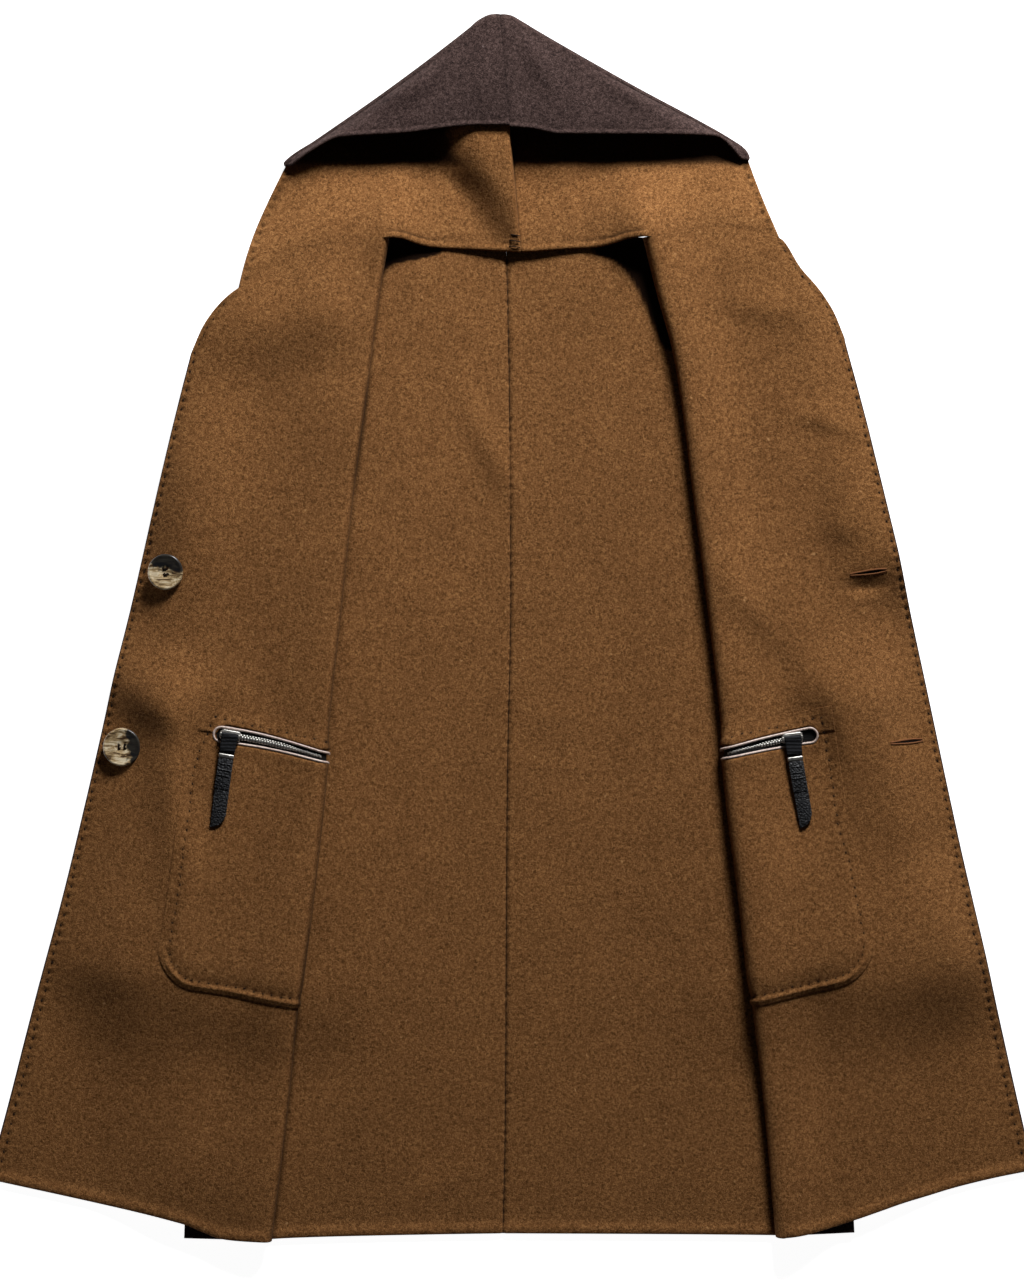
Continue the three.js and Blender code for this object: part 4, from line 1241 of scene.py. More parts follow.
    def side_point(self, v: Points) -> tuple[Points, Points]:
        """The side seam, then the armhole, out and up, at each row.

        Args:
            v: Shares of the height, from hem to shoulder.

        Returns:
            Distances out and heights above the hem.
        """
        y = mix(self.hem_height, SHOULDER_HEIGHT, v)
        low = mix(self.side_hem, UNDERARM_OUT, y / UNDERARM_HEIGHT)
        share = (y - UNDERARM_HEIGHT) / (SHOULDER_HEIGHT - UNDERARM_HEIGHT)
        high = mix(UNDERARM_OUT, SHOULDER_OUT, share)
        return np.where(y <= UNDERARM_HEIGHT, low, high), y

    def grid(self) -> tuple[Points, Points]:
        """The front's grid of points, from the side seam round the fold to the free edge.

        Returns:
            The points, and how far each is from the free edge.
        """
        v = self.rows()[:, None]
        fold_y = self.fold_height(v)
        fold_out = self.fold_out(fold_y)
        side_out, side_y = self.side_point(v)
        share = np.linspace(0, 1, HIDDEN_COLUMNS + 1)[None, :-1]
        lower_y = mix(side_y, fold_y, share)
        lower = stack(self.sign * mix(side_out, fold_out + self.roll, share), lower_y, self.lower_z(lower_y))
        angles = np.linspace(math.pi, 0, self.roll_steps + 1)[None, :-1]
        turn = self.surface(-self.roll * angles, fold_y * np.ones_like(angles))
        edge_out = self.edge.at(mix(self.hem_corner, self.edge_top, v))
        near = np.array(NEAR_EDGE)[None, ::-1]
        inner = fold_out + self.roll
        width = edge_out - near[0, 0] - inner
        count = round(float(width.max()) / self.column)
        even = inner + width * np.linspace(0, 1, count + 1)[None, :-1]
        out = np.concatenate([even, edge_out - near], axis=1)
        y = self.upper_place(out, v)
        points = np.concatenate([lower, turn, stack(self.sign * out, y, self.upper_z(out, y))], axis=1)
        rest = np.full((len(v), points.shape[1] - out.shape[1]), NO_EDGE)
        return points, np.concatenate([rest, edge_out - out], axis=1)

    def build(self, finishes: Finishes) -> bpy.types.Object:
        """Args:
            finishes: The coat's materials.

        Returns:
            The cloth.
        """
        points, inset = self.grid()
        out, y = points[..., 0] * self.sign, points[..., 1]
        hem = lengths_along(points)  # from the hem
        top = hem[-1:] - hem
        upper = inset < NO_EDGE
        points[..., 2] += self.hem_curl * bell(hem, 3.5, 5.0) * upper
        free_top = np.where(out[-1:] < self.notch - 1, NO_EDGE, top)
        thick = edge_round(np.minimum(np.minimum(inset, hem), free_top))
        thick[:, 0] = np.minimum(thick[:, 0], 0.9)
        near = upper & ((inset < 20) | (top < 20) & (out > self.notch - 8))
        dimples, pressed = self.stitch_line().on_grid(points, near)
        turned = points[..., 2] < self.upper_z(self.fold_out(y) + self.roll, y) + 0.5
        # painted shade beside the fold, on the cloth turned round the roll
        pressed += self.beside_fold(out, y) * turned
        shell = Shell(points, HALF * thick - dimples * thick, HALF * thick, flip=self.sign < 0)
        by_edge = (inset[:-1, :-1] + inset[:-1, 1:]) / 2 < self.dark_edge
        cloth = make_mesh(f"cloth_front_{self.side.word}", shell.vertices(), shell.faces(), finishes.wool,
                          shell.finish_of(by_edge | dark_hem(hem)), pressed)
        settle(cloth, "wool_inner", f"front_{self.side.word}")
        return cloth


def dark_hem(hem: Points) -> Points:
    """Which faces of a grid lie on the hem's edge, where the outer face shows."""
    reach = 0.7  # millimetres from the hem's edge
    return (hem[:-1, 1:] + hem[1:, 1:]) / 2 < reach


@dataclass(frozen=True)
class BackPanel:
    """Half of the back, between its side seam and the centre seam."""

    front: FrontPanel
    area: float
    seam: Line = Line(((0, -8), (90, -6), (400, -4), (560, -1), (720, -2), (870, -5)))
    top: float = 875.0
    hem_middle: float = 6.0
    plateau: float = 22.0
    slope: float = 130.0
    groove: float = 1.0
    seam_space: float = 0.005  # half the space between the two halves
    column: float = 5.6  # width of the grid's columns
    hem_curl: float = 1.6
    swells: tuple[Swell, ...] = (
        Swell(-17, 684, 44, 13, 12, -64, 3.4),
        Swell(40, 455, 24, 6, 5, 8, 0.5),
        Swell(36, 412, 22, 6, 5, -6, 0.5),
        Swell(-64, 48, 26, 9, 8, 38, 1.2),
        Swell(70, 300, 30, 8, 6, 10, 0.4),
        Swell(-70, 560, 26, 8, 6, -8, 0.4),
    )

    def shaded(self, out: Points, y: Points) -> Points:
        """How far a place lies in the closed corner below the neck, where shade is painted."""
        return ease((out - self.front.corner_shade.at(y)) / 4.0)

    def stitch_line(self) -> StitchLine:
        """The slip stitches of the centre seam.

        Returns:
            The line of stitches.
        """
        y = np.linspace(self.hem_middle + 2, self.top, 90)
        path = np.stack([self.seam.at(y), y], axis=-1)
        return StitchLine(path, self.front.sign, inset=0.6, deep=0.5, mark=0.3, seed=2.2)

    def height(self, out: Points, y: Points) -> Points:
        """Height of the middle of the back at a place.

        Args:
            out: Distances out from the middle.
            y: Places up the coat, from the hem.

        Returns:
            Heights off the ground.
        """
        start = self.front.fold_out(y) + self.front.roll
        held = 1 - ease((start - self.plateau - out) / (self.slope - self.plateau))
        rise = sum(swell.at(self.front.sign * out, y) for swell in self.swells)
        return BACK_MIDDLE + lift(y, LOWER_RAMP) * held + rise

    def build(self, finishes: Finishes) -> bpy.types.Object:
        """Args:
            finishes: The coat's materials.

        Returns:
            The cloth.
        """
        front, sign = self.front, self.front.sign
        count = round(self.top / STITCH_PITCH) * ROWS_PER_STITCH
        regular = np.linspace(0, 1, count + 1)
        near = np.array(NEAR_EDGE[:-1]) / self.top
        v = np.concatenate([near, regular[regular > near[-1] + 0.001]])[:, None]
        side_out, side_y = front.side_point(v)
        fold_y = front.fold_height(v)
        start = front.fold_out(fold_y) + front.roll
        seam_y = mix(self.hem_middle, self.top, v)
        seam_out = sign * (self.seam.at(seam_y) + sign * self.seam_space)
        share = np.linspace(0, 1, HIDDEN_COLUMNS + 1)[None, :-1]
        hidden, hidden_y = mix(side_out, start, share), mix(side_y, fold_y, share)
        to_seam = np.array(NEAR_SEAM)[None, ::-1]
        width = start - seam_out - to_seam[0, 0]
        columns = round(float(width.max()) / self.column)
        even = start - width * np.linspace(0, 1, columns + 1)[None, :-1]
        out = np.concatenate([even, seam_out + to_seam], axis=1)
        share = np.clip((start - out) / (start - seam_out), 0, 1)
        y = mix(fold_y, seam_y, np.sqrt(share))
        out = np.concatenate([hidden, out], axis=1)
        y = np.concatenate([hidden_y, y], axis=1)
        points = stack(sign * out, y, self.height(out, y))
        hem = lengths_along(points)  # from the hem
        points[..., 2] += self.hem_curl * bell(hem, 3.5, 5.0) * (out < start)
        from_seam = out - seam_out
        points[:, -1, 0] = sign * seam_out[:, 0]
        thick = edge_round(hem)
        sunk = self.groove * bell(from_seam, 0, 1.5)
        dimples, pressed = self.stitch_line().on_grid(points, from_seam < 14)
        # painted shade beside the fold, in the groove of the centre seam and in the corner below the neck
        shade_by_fold = front.tight.at(y) * bell(out - start + front.roll, 0, 2.4)
        pressed = pressed + 0.45 * bell(from_seam, 0, 0.8) + shade_by_fold + self.shaded(out, y)
        shell = Shell(points, HALF * thick - sunk - dimples, HALF * thick, flip=sign > 0)
        cloth = make_mesh(f"cloth_back_{front.side.word}", shell.vertices(), shell.faces(), finishes.wool,
                          shell.finish_of(dark_hem(hem)), pressed)
        settle(cloth, "wool_inner", f"back_{front.side.word}")
        return cloth


@dataclass(frozen=True)
class Hood:
    """Half of the hood: opened flat, with its top folded over towards the hem."""

    front: FrontPanel
    area: float
    neck_corner: float
    slant: float
    fold: Line
    lip: Line
    fold_end: float
    lip_end: float
    ridge_height: float
    lip_height: Line
    bulge: float
    neck: Line = Line(((0, 858.5), (44, 861.2), (68, 862.3), (82, 865), (94, 868.6), (106, 869.9)))
    neck_lift: Line = Line(((0, 0), (54, 0.05), (80, 0.35), (97, 0.8), (106, 1)))
    neck_reach: float = 106.0  # how far out the two tables above go
    ridge_rise: Line = Line(((856, 0), (866, 2.4), (880, 7.5), (894, 12.5), (910, 16.6), (928, 19), (948, 20),
                             (962, 20), (990, 12), (1030, 0)))  # for a ridge 20 high
    ridge_flat: Line = Line(((860, 2), (880, 3), (896, 5), (912, 10), (930, 19), (946, 26), (962, 29)))
    ridge_foot: Line = Line(((860, 22), (880, 33), (896, 42), (912, 52), (930, 68), (946, 80), (962, 86)))
    pitch: float = 2.6  # of the grid's rows and columns
    inner_length: float = 212.0  # about how long the cloth is below the fold, and over it
    over_length: float = 100.0
    roll_steps: int = 12
    neck_middle: float = 7.4
    settle: float = 80.0
    roll_centre: float = 5.5
    roll_corner: float = 1.9
    seam_neck: float = 8.0
    seam_fold: float = -10.0
    seam_lip: float = -2.0
    slant_settle: float = 0.15
    shade_from: float = 931.0  # above this height shade is painted inside the hood's fold
    swells: tuple[Swell, ...] = ()
    top_swells: tuple[Swell, ...] = ()

    def ridge(self, out: Points, y: Points) -> Points:
        """Height of the standing fold of cloth beside the centre seam.

        Args:
            out: Distances out from the middle.
            y: Places up the coat, from the hem.

        Returns:
            Heights that the fold adds.
        """
        inner = ease(out / 2.8)
        flat = self.ridge_flat.at(y)
        slope = 1 - ease((out - flat) / (self.ridge_foot.at(y) - flat))
        return self.ridge_height / 20 * self.ridge_rise.at(y) * inner * slope

    def shift(self, out: Points) -> Points:
        """How far the neck end of the centre seam pulls the cloth beside it across."""
        return self.seam_neck * bell(out, 0, 34)

    def stitch_line(self, points: Points) -> StitchLine:
        """The pick stitches along the hood's face edge, given its grid of points."""
        count = int(len(points) * 0.62)
        return StitchLine(outlined(points[:count, -1, :2]), -self.front.sign, inset=4.6, seed=0.7)

    def starts(self, share: Points) -> Points:
        """Points where the hood begins: the neck edge, then the seam to the front.

        Args:
            share: Shares of the neck's width, from the middle out.

        Returns:
            The points in space, one for each share.
        """
        front = self.front
        out = np.maximum(share * front.notch, 0.02)
        crown = front.fold_out(NECK_HEIGHT) + front.roll
        roof = front.upper_z(crown, NECK_HEIGHT)
        scaled = out * self.neck_reach / self.neck_corner
        neck_z = mix(self.neck_middle, roof, self.neck_lift.at(scaled))
        on_neck = out < self.neck_corner
        reached = np.maximum(out, crown)
        seam_y = front.top.at(reached)
        y = np.where(on_neck, self.neck.at(scaled), seam_y)
        z = np.where(on_neck, neck_z, front.upper_z(reached, seam_y))
        return stack(front.sign * out + self.shift(out), y, z)

    def grid(self, places: Points) -> tuple[Points, int]:
        """The hood's grid of points, from the neck up to its fold and over it to the lip.

        Args:
            places: How far out along the neck its columns start.

        Returns:
            The points, and how many rows lie below the fold.
        """
        front, sign = self.front, self.front.sign
        share = places / front.notch
        start = self.starts(share)
        fold_x = mix(self.seam_fold, self.fold_end, share)
        fold_y = self.fold.at(np.abs(fold_x - self.seam_fold))
        lip_x = mix(self.seam_lip, self.lip_end, share)
        lip_y = self.lip.at(np.abs(lip_x - self.seam_lip))
        slant = math.radians(self.slant) * ease(share / self.slant_settle)
        inward = stack(-sign * np.sin(slant), -np.cos(slant), np.zeros_like(slant))
        roll = mix(self.roll_centre, self.roll_corner, share)
        fold = stack(fold_x, fold_y, np.zeros_like(fold_x))
        centre = fold + inward * (roll + HALF)[:, None]
        length = np.linalg.norm((centre - start)[:, :2], axis=1)
        v = (spaced(self.inner_length, self.pitch, NEAR_NECK) / self.inner_length)[:, None]
        x = mix(start[:, 0], centre[:, 0], v) + sign * self.bulge * share**4 * np.sin(math.pi * v)
        y = mix(start[:, 1], centre[:, 1], v)
        rest = mix(start[:, 2], HALF, ease(v * length / self.settle))
        from_seam = places * np.ones_like(v)
        relief = sum((swell.at(x, y) for swell in self.swells), np.zeros_like(x))
        lower = stack(x, y, rest + self.ridge(from_seam, y) * (v < 1) + relief)
        angle = np.linspace(-math.pi / 2, math.pi / 2, self.roll_steps + 1)[1:, None]
        turn = centre[None] - inward[None] * (roll * np.cos(angle))[..., None]
        turn[..., 2] = HALF + roll + roll * np.sin(angle)
        top = turn[-1]
        lip_z = self.lip_height.at(share)
        w = (1 - spaced(self.over_length, self.pitch, NEAR_LIP)[::-1] / self.over_length)[1:, None]
        over = stack(
            mix(top[:, 0], lip_x, w),
            mix(top[:, 1], lip_y, w),
            mix(top[:, 2], lip_z, np.sin(math.pi / 2 * w)),
        )
        for swell in self.top_swells:
            over[..., 2] += swell.at(over[..., 0], over[..., 1]) * np.sin(math.pi * np.clip(w, 0, 1)) ** 0.5
        return np.concatenate([lower, turn, over]), len(lower)

    def build(self, finishes: Finishes) -> bpy.types.Object:
        """Args:
            finishes: The coat's materials.

        Returns:
            The cloth.
        """
        front, sign = self.front, self.front.sign
        places = spaced(front.notch, self.pitch, NEAR_NECK[:-1])
        last = front.notch - np.array(NEAR_EDGE)[::-1]
        places = np.concatenate([places[places < last[0] - 1], last])
        points, below = self.grid(places)
        edge = front.notch - places
        to_lip = lengths_along(points[::-1])[::-1]
        from_neck = np.where(places > self.neck_corner + 2, NO_EDGE, lengths_along(points))
        thick = edge_round(np.minimum(np.minimum(to_lip, edge), from_neck))
        points[..., 2] += 1.3 * bell(to_lip, 1.0, 1.5) - 0.3 * bell(to_lip, 4.6, 1.2)
        points[..., 2] += 0.7 * bell(from_neck, 2.6, 1.6)
        row = np.arange(len(points))[:, None]
        sunk = 0.7 * bell(places, 0, 1.6) * np.ones_like(thick)
        sunk_neck = 0.5 * bell(from_neck, 6.6, 1.2)
        beside = (edge < 16) & (row > 1) & (row < below)
        dimples, pressed = self.stitch_line(points).on_grid(points, beside)
        side_share = np.clip(places / self.neck_corner, 0, 1)
        # painted shade in the groove above the neck edge and along the centre seam
        pressed += 0.7 * bell(from_neck, 6.2, 0.9) * ease((side_share - 0.25) / 0.3)
        pressed += 0.6 * bell(places, 0, 0.9) * (row < below)
        # painted shade inside the hood's fold under the lip, but not on the ridge that stands up into the light
        height = self.ridge(places, points[..., 1])
        inside = ease((points[..., 1] - self.shade_from) / 9) * (1 - ease((height - 7) / 7))
        pressed += 0.92 * np.where(row < below, inside, 1.0) * (row < below + 8)
        above = HALF * thick - sunk * 0.6 - sunk_neck - dimples
        shell = Shell(points, above, HALF * thick - sunk * 0.6, flip=sign < 0)
        # painted shade on the underside of the turned ply, along the centre seam
        under = 0.3 * bell(places, 0, 1.0) + 0.25 * bell(places, 3.4, 0.8)
        pressed = np.concatenate([pressed.ravel(), (under * (row >= below)).ravel()])
        cloth = make_mesh(f"cloth_hood_{front.side.word}", shell.vertices(), shell.faces(), finishes.wool,
                          shell.finish_of(0), pressed)
        settle(cloth, "wool_inner", f"hood_{front.side.word}")
        return cloth


@dataclass(frozen=True)
class Sleeve:
    """A sleeve folded under the back: a flattened tube from the armhole down to the cuff."""

    front: FrontPanel
    outer_shift: float
    inner_shift: float
    area: float
    # out and up of the outer end, out and up of the inner end, share of the shift
    sections: tuple[tuple[float, float, float, float, float], ...] = (
        (264, 606, 180, 790, 0),
        (270, 545, 134, 700, 0.8),
        (286, 470, 136, 570, 1),
        (303, 400, 148, 445, 1),
        (312, 310, 160, 335, 1),
        (313, 240, 170, 244, 1),
    )
    turn_steps: int = 8
    round_steps: int = 6
    turn_inner: float = 0.2

    def loop(self, start: Points, end: Points, up: Points, low: float, high: float, inset: float) -> Points:
        """One section of the flattened tube.

        Args:
            start: Lower end of the line that it stands on.
            end: Upper end of that line.
            up: Direction in which its plies are stacked.
            low: Distance of its near ply.
            high: Distance of its far ply.
            inset: How far it stays inside the ends of the line.

        Returns:
            The loop's points.
        """
        radius = (high - low) / 2
        length = np.linalg.norm(end - start)
        run = (end - start) / length
        loop = []
        for along, turn in ((length - inset - radius, -math.pi / 2), (inset + radius, math.pi / 2)):
            for k in range(self.round_steps + 1):
                angle = turn + math.pi * k / self.round_steps
                distance = along + radius * math.cos(angle)
                loop.append(start + run * distance + up * (low + radius + radius * math.sin(angle)))
        return np.array(loop)

    def build(self, finishes: Finishes) -> bpy.types.Object:
        """Args:
            finishes: The coat's finishes.

        Returns:
            The piece.
        """
        sign = self.front.sign
        turn_height = SLEEVE_LIFT - PLY_SPACE / 2
        underarm = np.array([sign * UNDERARM_OUT, UNDERARM_HEIGHT, turn_height])
        shoulder = np.array([sign * SHOULDER_OUT, SHOULDER_HEIGHT, turn_height])
        armhole = (shoulder - underarm) / np.linalg.norm(shoulder - underarm)
        outward = np.array([sign * armhole[1], -sign * armhole[0], 0.0])
        sections = []
        for k in range(self.turn_steps + 1):
            share = k / self.turn_steps
            up = np.array([0, 0, math.cos(math.pi * share)]) + outward * math.sin(math.pi * share)
            sections.append((underarm + outward * SEAM, shoulder + outward * SEAM, up, share))
        for outer_out, outer_y, inner_out, inner_y, shift in self.sections:
            start = np.array([sign * (outer_out + self.outer_shift * shift), outer_y, turn_height])
            end = np.array([sign * (inner_out + self.inner_shift * shift), inner_y, turn_height])
            sections.append((start, end, -Z, 1.0))
        outer, hollow = [], []
        for start, end, up, share in sections:
            low = self.turn_inner
            high = low + mix(2 * CLOTH + PLY_SPACE, SLEEVE_HEIGHT, share)
            outer.append(self.loop(start, end, up, low, high, 0))
            hollow.append(self.loop(start, end, up, low + CLOTH, high - CLOTH, CLOTH))
        size, count = len(outer[0]), len(outer)
        vertices = np.concatenate([np.array(outer).reshape(-1, 3), np.array(hollow).reshape(-1, 3)])
        skin, half = quads(count, size, close=True), size * count
        ring = np.arange(size)
        after = np.roll(ring, -1)
        first_rim = np.stack([ring, ring + half, after + half, after], axis=-1)
        last_rim = first_rim[:, [0, 3, 2, 1]] + half - size
        faces = np.concatenate([skin, skin[:, ::-1] + half, first_rim, last_rim])
        indices = np.concatenate([np.ones(len(skin), int), np.zeros(len(skin), int), np.ones(2 * size, int)])
        cloth = make_mesh(f"cloth_sleeve_{self.front.side.word}", vertices, faces, finishes.wool, indices)
        recalculate(cloth)
        settle(cloth, "wool_outer", f"sleeve_{self.front.side.word}")
        return cloth


# ---------------------------------------------------------------- pockets and zips

PIPING_WIDTH = 2.2
POCKET_CLOTH = 2.0


@dataclass(frozen=True)
class Mouth:
    """The zipped mouth of a pocket: its middle line in plan and its half widths."""

    front: FrontPanel
    outer: tuple[float, float]
    bend: tuple[float, float]
    fold: tuple[float, float]
    slider: float
    half_outer: float = 5.4
    half_fold: float = 2.8

    def line(self, share: Points) -> tuple[Points, Points]:
        """The middle line, out and up, from 0 at its outer end to 1 at the fold.

        Args:
            share: Shares of the line.

        Returns:
            Distances out and heights above the hem.
        """
        weights = ((1 - share) ** 2, 2 * share * (1 - share), share**2)
        points = (self.outer, self.bend, self.fold)
        return tuple(sum(w * p[k] for w, p in zip(weights, points)) for k in (0, 1))

    def share_at(self, out: Points) -> Points:
        """Share of the line at a distance out.

        Args:
            out: Distances out from the middle.

        Returns:
            Shares of the line.
        """
        a = self.outer[0] - 2 * self.bend[0] + self.fold[0]
        b = 2 * (self.bend[0] - self.outer[0])
        c = self.outer[0] - out
        root = np.sqrt(np.maximum(b * b - 4 * a * c, 0))
        return np.where(abs(a) < 1e-6, -c / b, 2 * c / (-b + root))

    def half_at(self, out: Points, grow: float) -> Points:
        """Half width of the mouth at a distance out, widened by grow, round at its end.

        Args:
            out: Distances out from the middle.
            grow: What to add to the half width.

        Returns:
            Half widths.
        """
        share = np.clip(self.share_at(out), 0, 1)
        half = mix(self.half_outer, self.half_fold, share) + grow
        radius = self.half_outer + grow
        beyond = np.clip((out - self.outer[0]) / radius, 0, 1)
        return half * np.sqrt(1 - beyond**2)

    def centre_at(self, out: Points) -> Points:
        """Height above the hem of the middle line at a distance out.

        Args:
            out: Distances out from the middle.

        Returns:
            Heights above the hem.
        """
        share = self.share_at(np.minimum(out, self.outer[0]))
        slope = (self.bend[1] - self.outer[1]) / (self.bend[0] - self.outer[0])
        return self.line(share)[1] + np.maximum(out - self.outer[0], 0) * slope

    def ring(self, grow: float, steps: int = 60) -> tuple[Points, Points]:
        """The mouth's outline from the fold round its outer end and back.

        Args:
            grow: How far outside the mouth it runs.
            steps: Points on each side.

        Returns:
            Points out and up.
        """
        share = np.linspace(1, 0, steps)
        out, y = self.line(share)
        ahead = self.line(share - 0.01)
        run = unit(np.stack([ahead[0] - out, ahead[1] - y], axis=-1))
        half = (mix(self.half_outer, self.half_fold, share) + grow)[:, None]
        side = np.stack([-run[:, 1], run[:, 0]], axis=-1)
        middle = np.stack([out, y], axis=-1)
        angles = np.linspace(math.pi / 2, -math.pi / 2, 19)[1:-1, None]
        end = middle[-1] + half[-1] * (run[-1] * np.cos(angles) + side[-1] * np.sin(angles))
        path = np.concatenate([middle + side * half, end, (middle - side * half)[::-1]])
        return path[:, 0], path[:, 1]


def weld(piece: bpy.types.Object) -> None:
    """Makes one skin of closed parts that touch, without the walls between them.

    Args:
        piece: The object to change.
    """
    work = bmesh.new()
    work.from_mesh(piece.data)
    bmesh.ops.remove_doubles(work, verts=work.verts, dist=0.00002)
    closed = [face for face in work.faces if face.calc_area() < 1e-12]
    bmesh.ops.delete(work, geom=closed, context="FACES_ONLY")
    inner_walls = [face for face in work.faces if all(len(edge.link_faces) > 2 for edge in face.edges)]
    bmesh.ops.delete(work, geom=inner_walls, context="FACES_ONLY")
    bmesh.ops.recalc_face_normals(work, faces=work.faces)
    work.to_mesh(piece.data)
    work.free()


@dataclass(frozen=True)
class PocketPatch:
    """The patch that makes a pocket: feathered sides, and a foot turned up in a soft roll."""

    front: FrontPanel
    mouth: Mouth
    area: float
    side: Line
    foot: Line
    top: Line
    corner: float = 30.0
    corner_rise: float = 33.0
    pitch: float = 1.5
    stitch_inset: float = 8.8
    roll_in: float = 5.2  # how far in from the foot's edge its soft roll is
    twist_pitch: float = 4.6
    foot_edge: float = 0.7  # height of the face at the foot's edge, and at the sides
    side_edge: float = 0.3
    middle_height: float = 430.0
    start_heights: tuple[float, float] = (215.0, 455.0)  # near the foot and the top
    low_reach: float = 225.0  # about how long the patch is below the mouth, and above it
    high_reach: float = 30.0

    def bottom_at(self, out: Points, widest: float) -> Points:
        """Lower edge of the patch at a distance out, with its round corner."""
        into = np.clip((out - (widest - self.corner)) / self.corner, 0, 1)
        return self.foot.at(out) + self.corner_rise * (1 - np.sqrt(1 - into**2))

    def end_rows(self, share: Points, start: float, rule: Callable[[Points], Points]) -> Points:
        """Heights at which columns of the patch meet one of its edges.

        Args:
            share: Each column's share of the way from the fold to the side.
            start: A height near the edge.
            rule: The edge's height at a distance out.

        Returns:
            One height for each column.
        """
        y = np.full(len(share), start)
        for _ in range(12):
            crown = self.front.fold_out(y) + self.front.roll
            y = mix(y, rule(crown + share * (self.side.at(y) - crown)), 0.7)
        return y

    def outline(self) -> Points:
        """The free edges in plan: foot from the fold to the corner, then side, then top.

        Returns:
            The corners of the edges, in order.
        """
        widest = float(self.side.rows[0][1])
        turn = 1 - np.sin(np.linspace(0, 1, 12)[1:] * math.pi / 2)
        straight = np.linspace(self.foot.rows[0][0], widest - self.corner, 20)
        out = np.concatenate([straight, widest - self.corner * turn])
        foot = np.stack([out, self.bottom_at(out, widest)], axis=-1)
        y = np.linspace(float(foot[-1, 1]), self.side.rows[-1][0], 30)[1:]
        side = np.stack([self.side.at(y), y], axis=-1)
        across = np.linspace(float(side[-1, 0]), self.top.rows[0][0], 20)[1:]
        top = np.stack([across, self.top.at(across)], axis=-1)
        path = np.concatenate([foot, side, top])
        path[:, 0] *= self.front.sign
        return outlined(path, 3.0)

    def stitch_line(self) -> StitchLine:
        """The pick stitches along the foot, the side and the top of the patch."""
        return StitchLine(self.outline(), self.front.sign, inset=self.stitch_inset, pitch=8.0, deep=0.8, mark=0.6,
                          seed=4.1 + self.front.sign)

    def rise(self, x: Points, y: Points) -> Points:
        """Height of the patch's face above the front's, from its distance to its edges.

        Args:
            x: Places across the coat.
            y: Places up the coat, from the hem.

        Returns:
            Heights above the front.
        """
        line = StitchLine(self.outline(), 1)
        along, apart = line.measure(x, y)
        corner_at = float(line.lengths[np.argmax(np.abs(line.path[1:, 0])) + 1])
        footed = 1 - ease((along - corner_at + 24) / 34)
        twist = 0.5 + 0.5 * np.sin(2 * math.pi * (along + 1.1 * apart) / self.twist_pitch)
        width = np.where(apart > self.roll_in, 1.5, 2.6)
        roll = (0.9 + 0.8 * twist) * bell(apart, self.roll_in, width) + 0.2 * bell(apart, 1.2, 0.9)
        edge = self.foot_edge * ease((apart + 1.0) / 2.6)
        foot = edge + roll + (POCKET_CLOTH - self.foot_edge) * ease((apart - 5) / 20)
        side = self.side_edge + (POCKET_CLOTH - self.side_edge) * ease(apart / 16)
        return mix(side, foot, footed)

    def on_face(self, x: Points, y: Points) -> tuple[Points, Points]:
        """Points just sunk in the patch's face, and its normals, at places in plan.

        Args:
            x: Places across the coat.
            y: Places up the coat, from the hem.

        Returns:
            The points and the unit normals there.
        """
        front = self.front
        out = front.sign * x
        normals = front.normal(front.past_of(out, y), y)
        return front.above(out, y, HALF + self.rise(x, y) - 0.75), normals

    def build(self, finishes: Finishes) -> bpy.types.Object:
        """Args:
            finishes: The coat's materials.

        Returns:
            The cloth.
        """
        front, mouth = self.front, self.mouth
        widest = float(self.side.rows[0][1])
        wrap = front.roll * math.pi * 0.62
        inner = float(front.fold_out(self.middle_height)) + front.roll
        flat = float(self.side.at(self.middle_height)) - inner
        near = np.array(NEAR_SEWN)
        count = max(2, round((flat - near[-1]) / self.pitch)) + 1
        inside = np.linspace(0, flat - near[-1], count)[:-1]
        past = np.concatenate([np.linspace(-wrap, 0, 9)[:-1], inside, flat - near[::-1]])
        share = np.clip(past / flat, 0, 1)
        centre_out = inner + np.maximum(past, 0)
        near_foot, near_top = self.start_heights
        bottom = self.end_rows(share, near_foot, lambda out: self.bottom_at(np.minimum(out, widest - 0.01), widest))
        top = self.end_rows(share, near_top, self.top.at)
        half = mouth.half_at(centre_out, PIPING_WIDTH + 0.2)
        middle = mouth.centre_at(centre_out)
        low, high = self.low_reach, self.high_reach
        low_rows = np.concatenate([near, np.linspace(near[-1], low, 108)[1:]]) / low
        high_rows = 1 - np.concatenate([near, np.linspace(near[-1], high, 8)[1:]])[::-1] / high
        parts, pressed = [], []
        for rows, start, end in ((low_rows, bottom, middle - half), (high_rows, middle + half, top)):
            y = start + (end - start) * rows[:, None]
            reach = self.side.at(y) - (front.fold_out(y) + front.roll)
            where = np.where(past < 0, past, share * reach)
            base = front.surface(where, y)
            normals = front.normal(where, y)
            rise = self.rise(base[..., 0], base[..., 1])
            dimples, marks = self.stitch_line().depth(base[..., 0], base[..., 1])
            lip = 0.35 * bell(np.abs(y - middle) - half, 4.0, 3.0) * (half > 1)
            face = base + normals * (HALF + 0.1 + np.maximum(rise - dimples + lip, 0.12))[..., None]
            seat = base + normals * (HALF + 0.05)
            parts.append((np.concatenate([face.reshape(-1, 3), seat.reshape(-1, 3)]), sheet_faces(*y.shape)))
            # painted shade in the stitches' dimples (marks) and beside the fold
            marks = marks + front.beside_fold(front.sign * base[..., 0], base[..., 1])
            pressed += [marks.ravel(), np.zeros(y.size)]
        vertices, faces = join(parts)
        cloth = make_mesh(f"cloth_pocket_{front.side.word}", vertices, faces, (finishes.wool_inner,),
                          pressed=np.concatenate(pressed))
        weld(cloth)
        settle(cloth, "wool_inner", f"pocket_{front.side.word}")
        return cloth


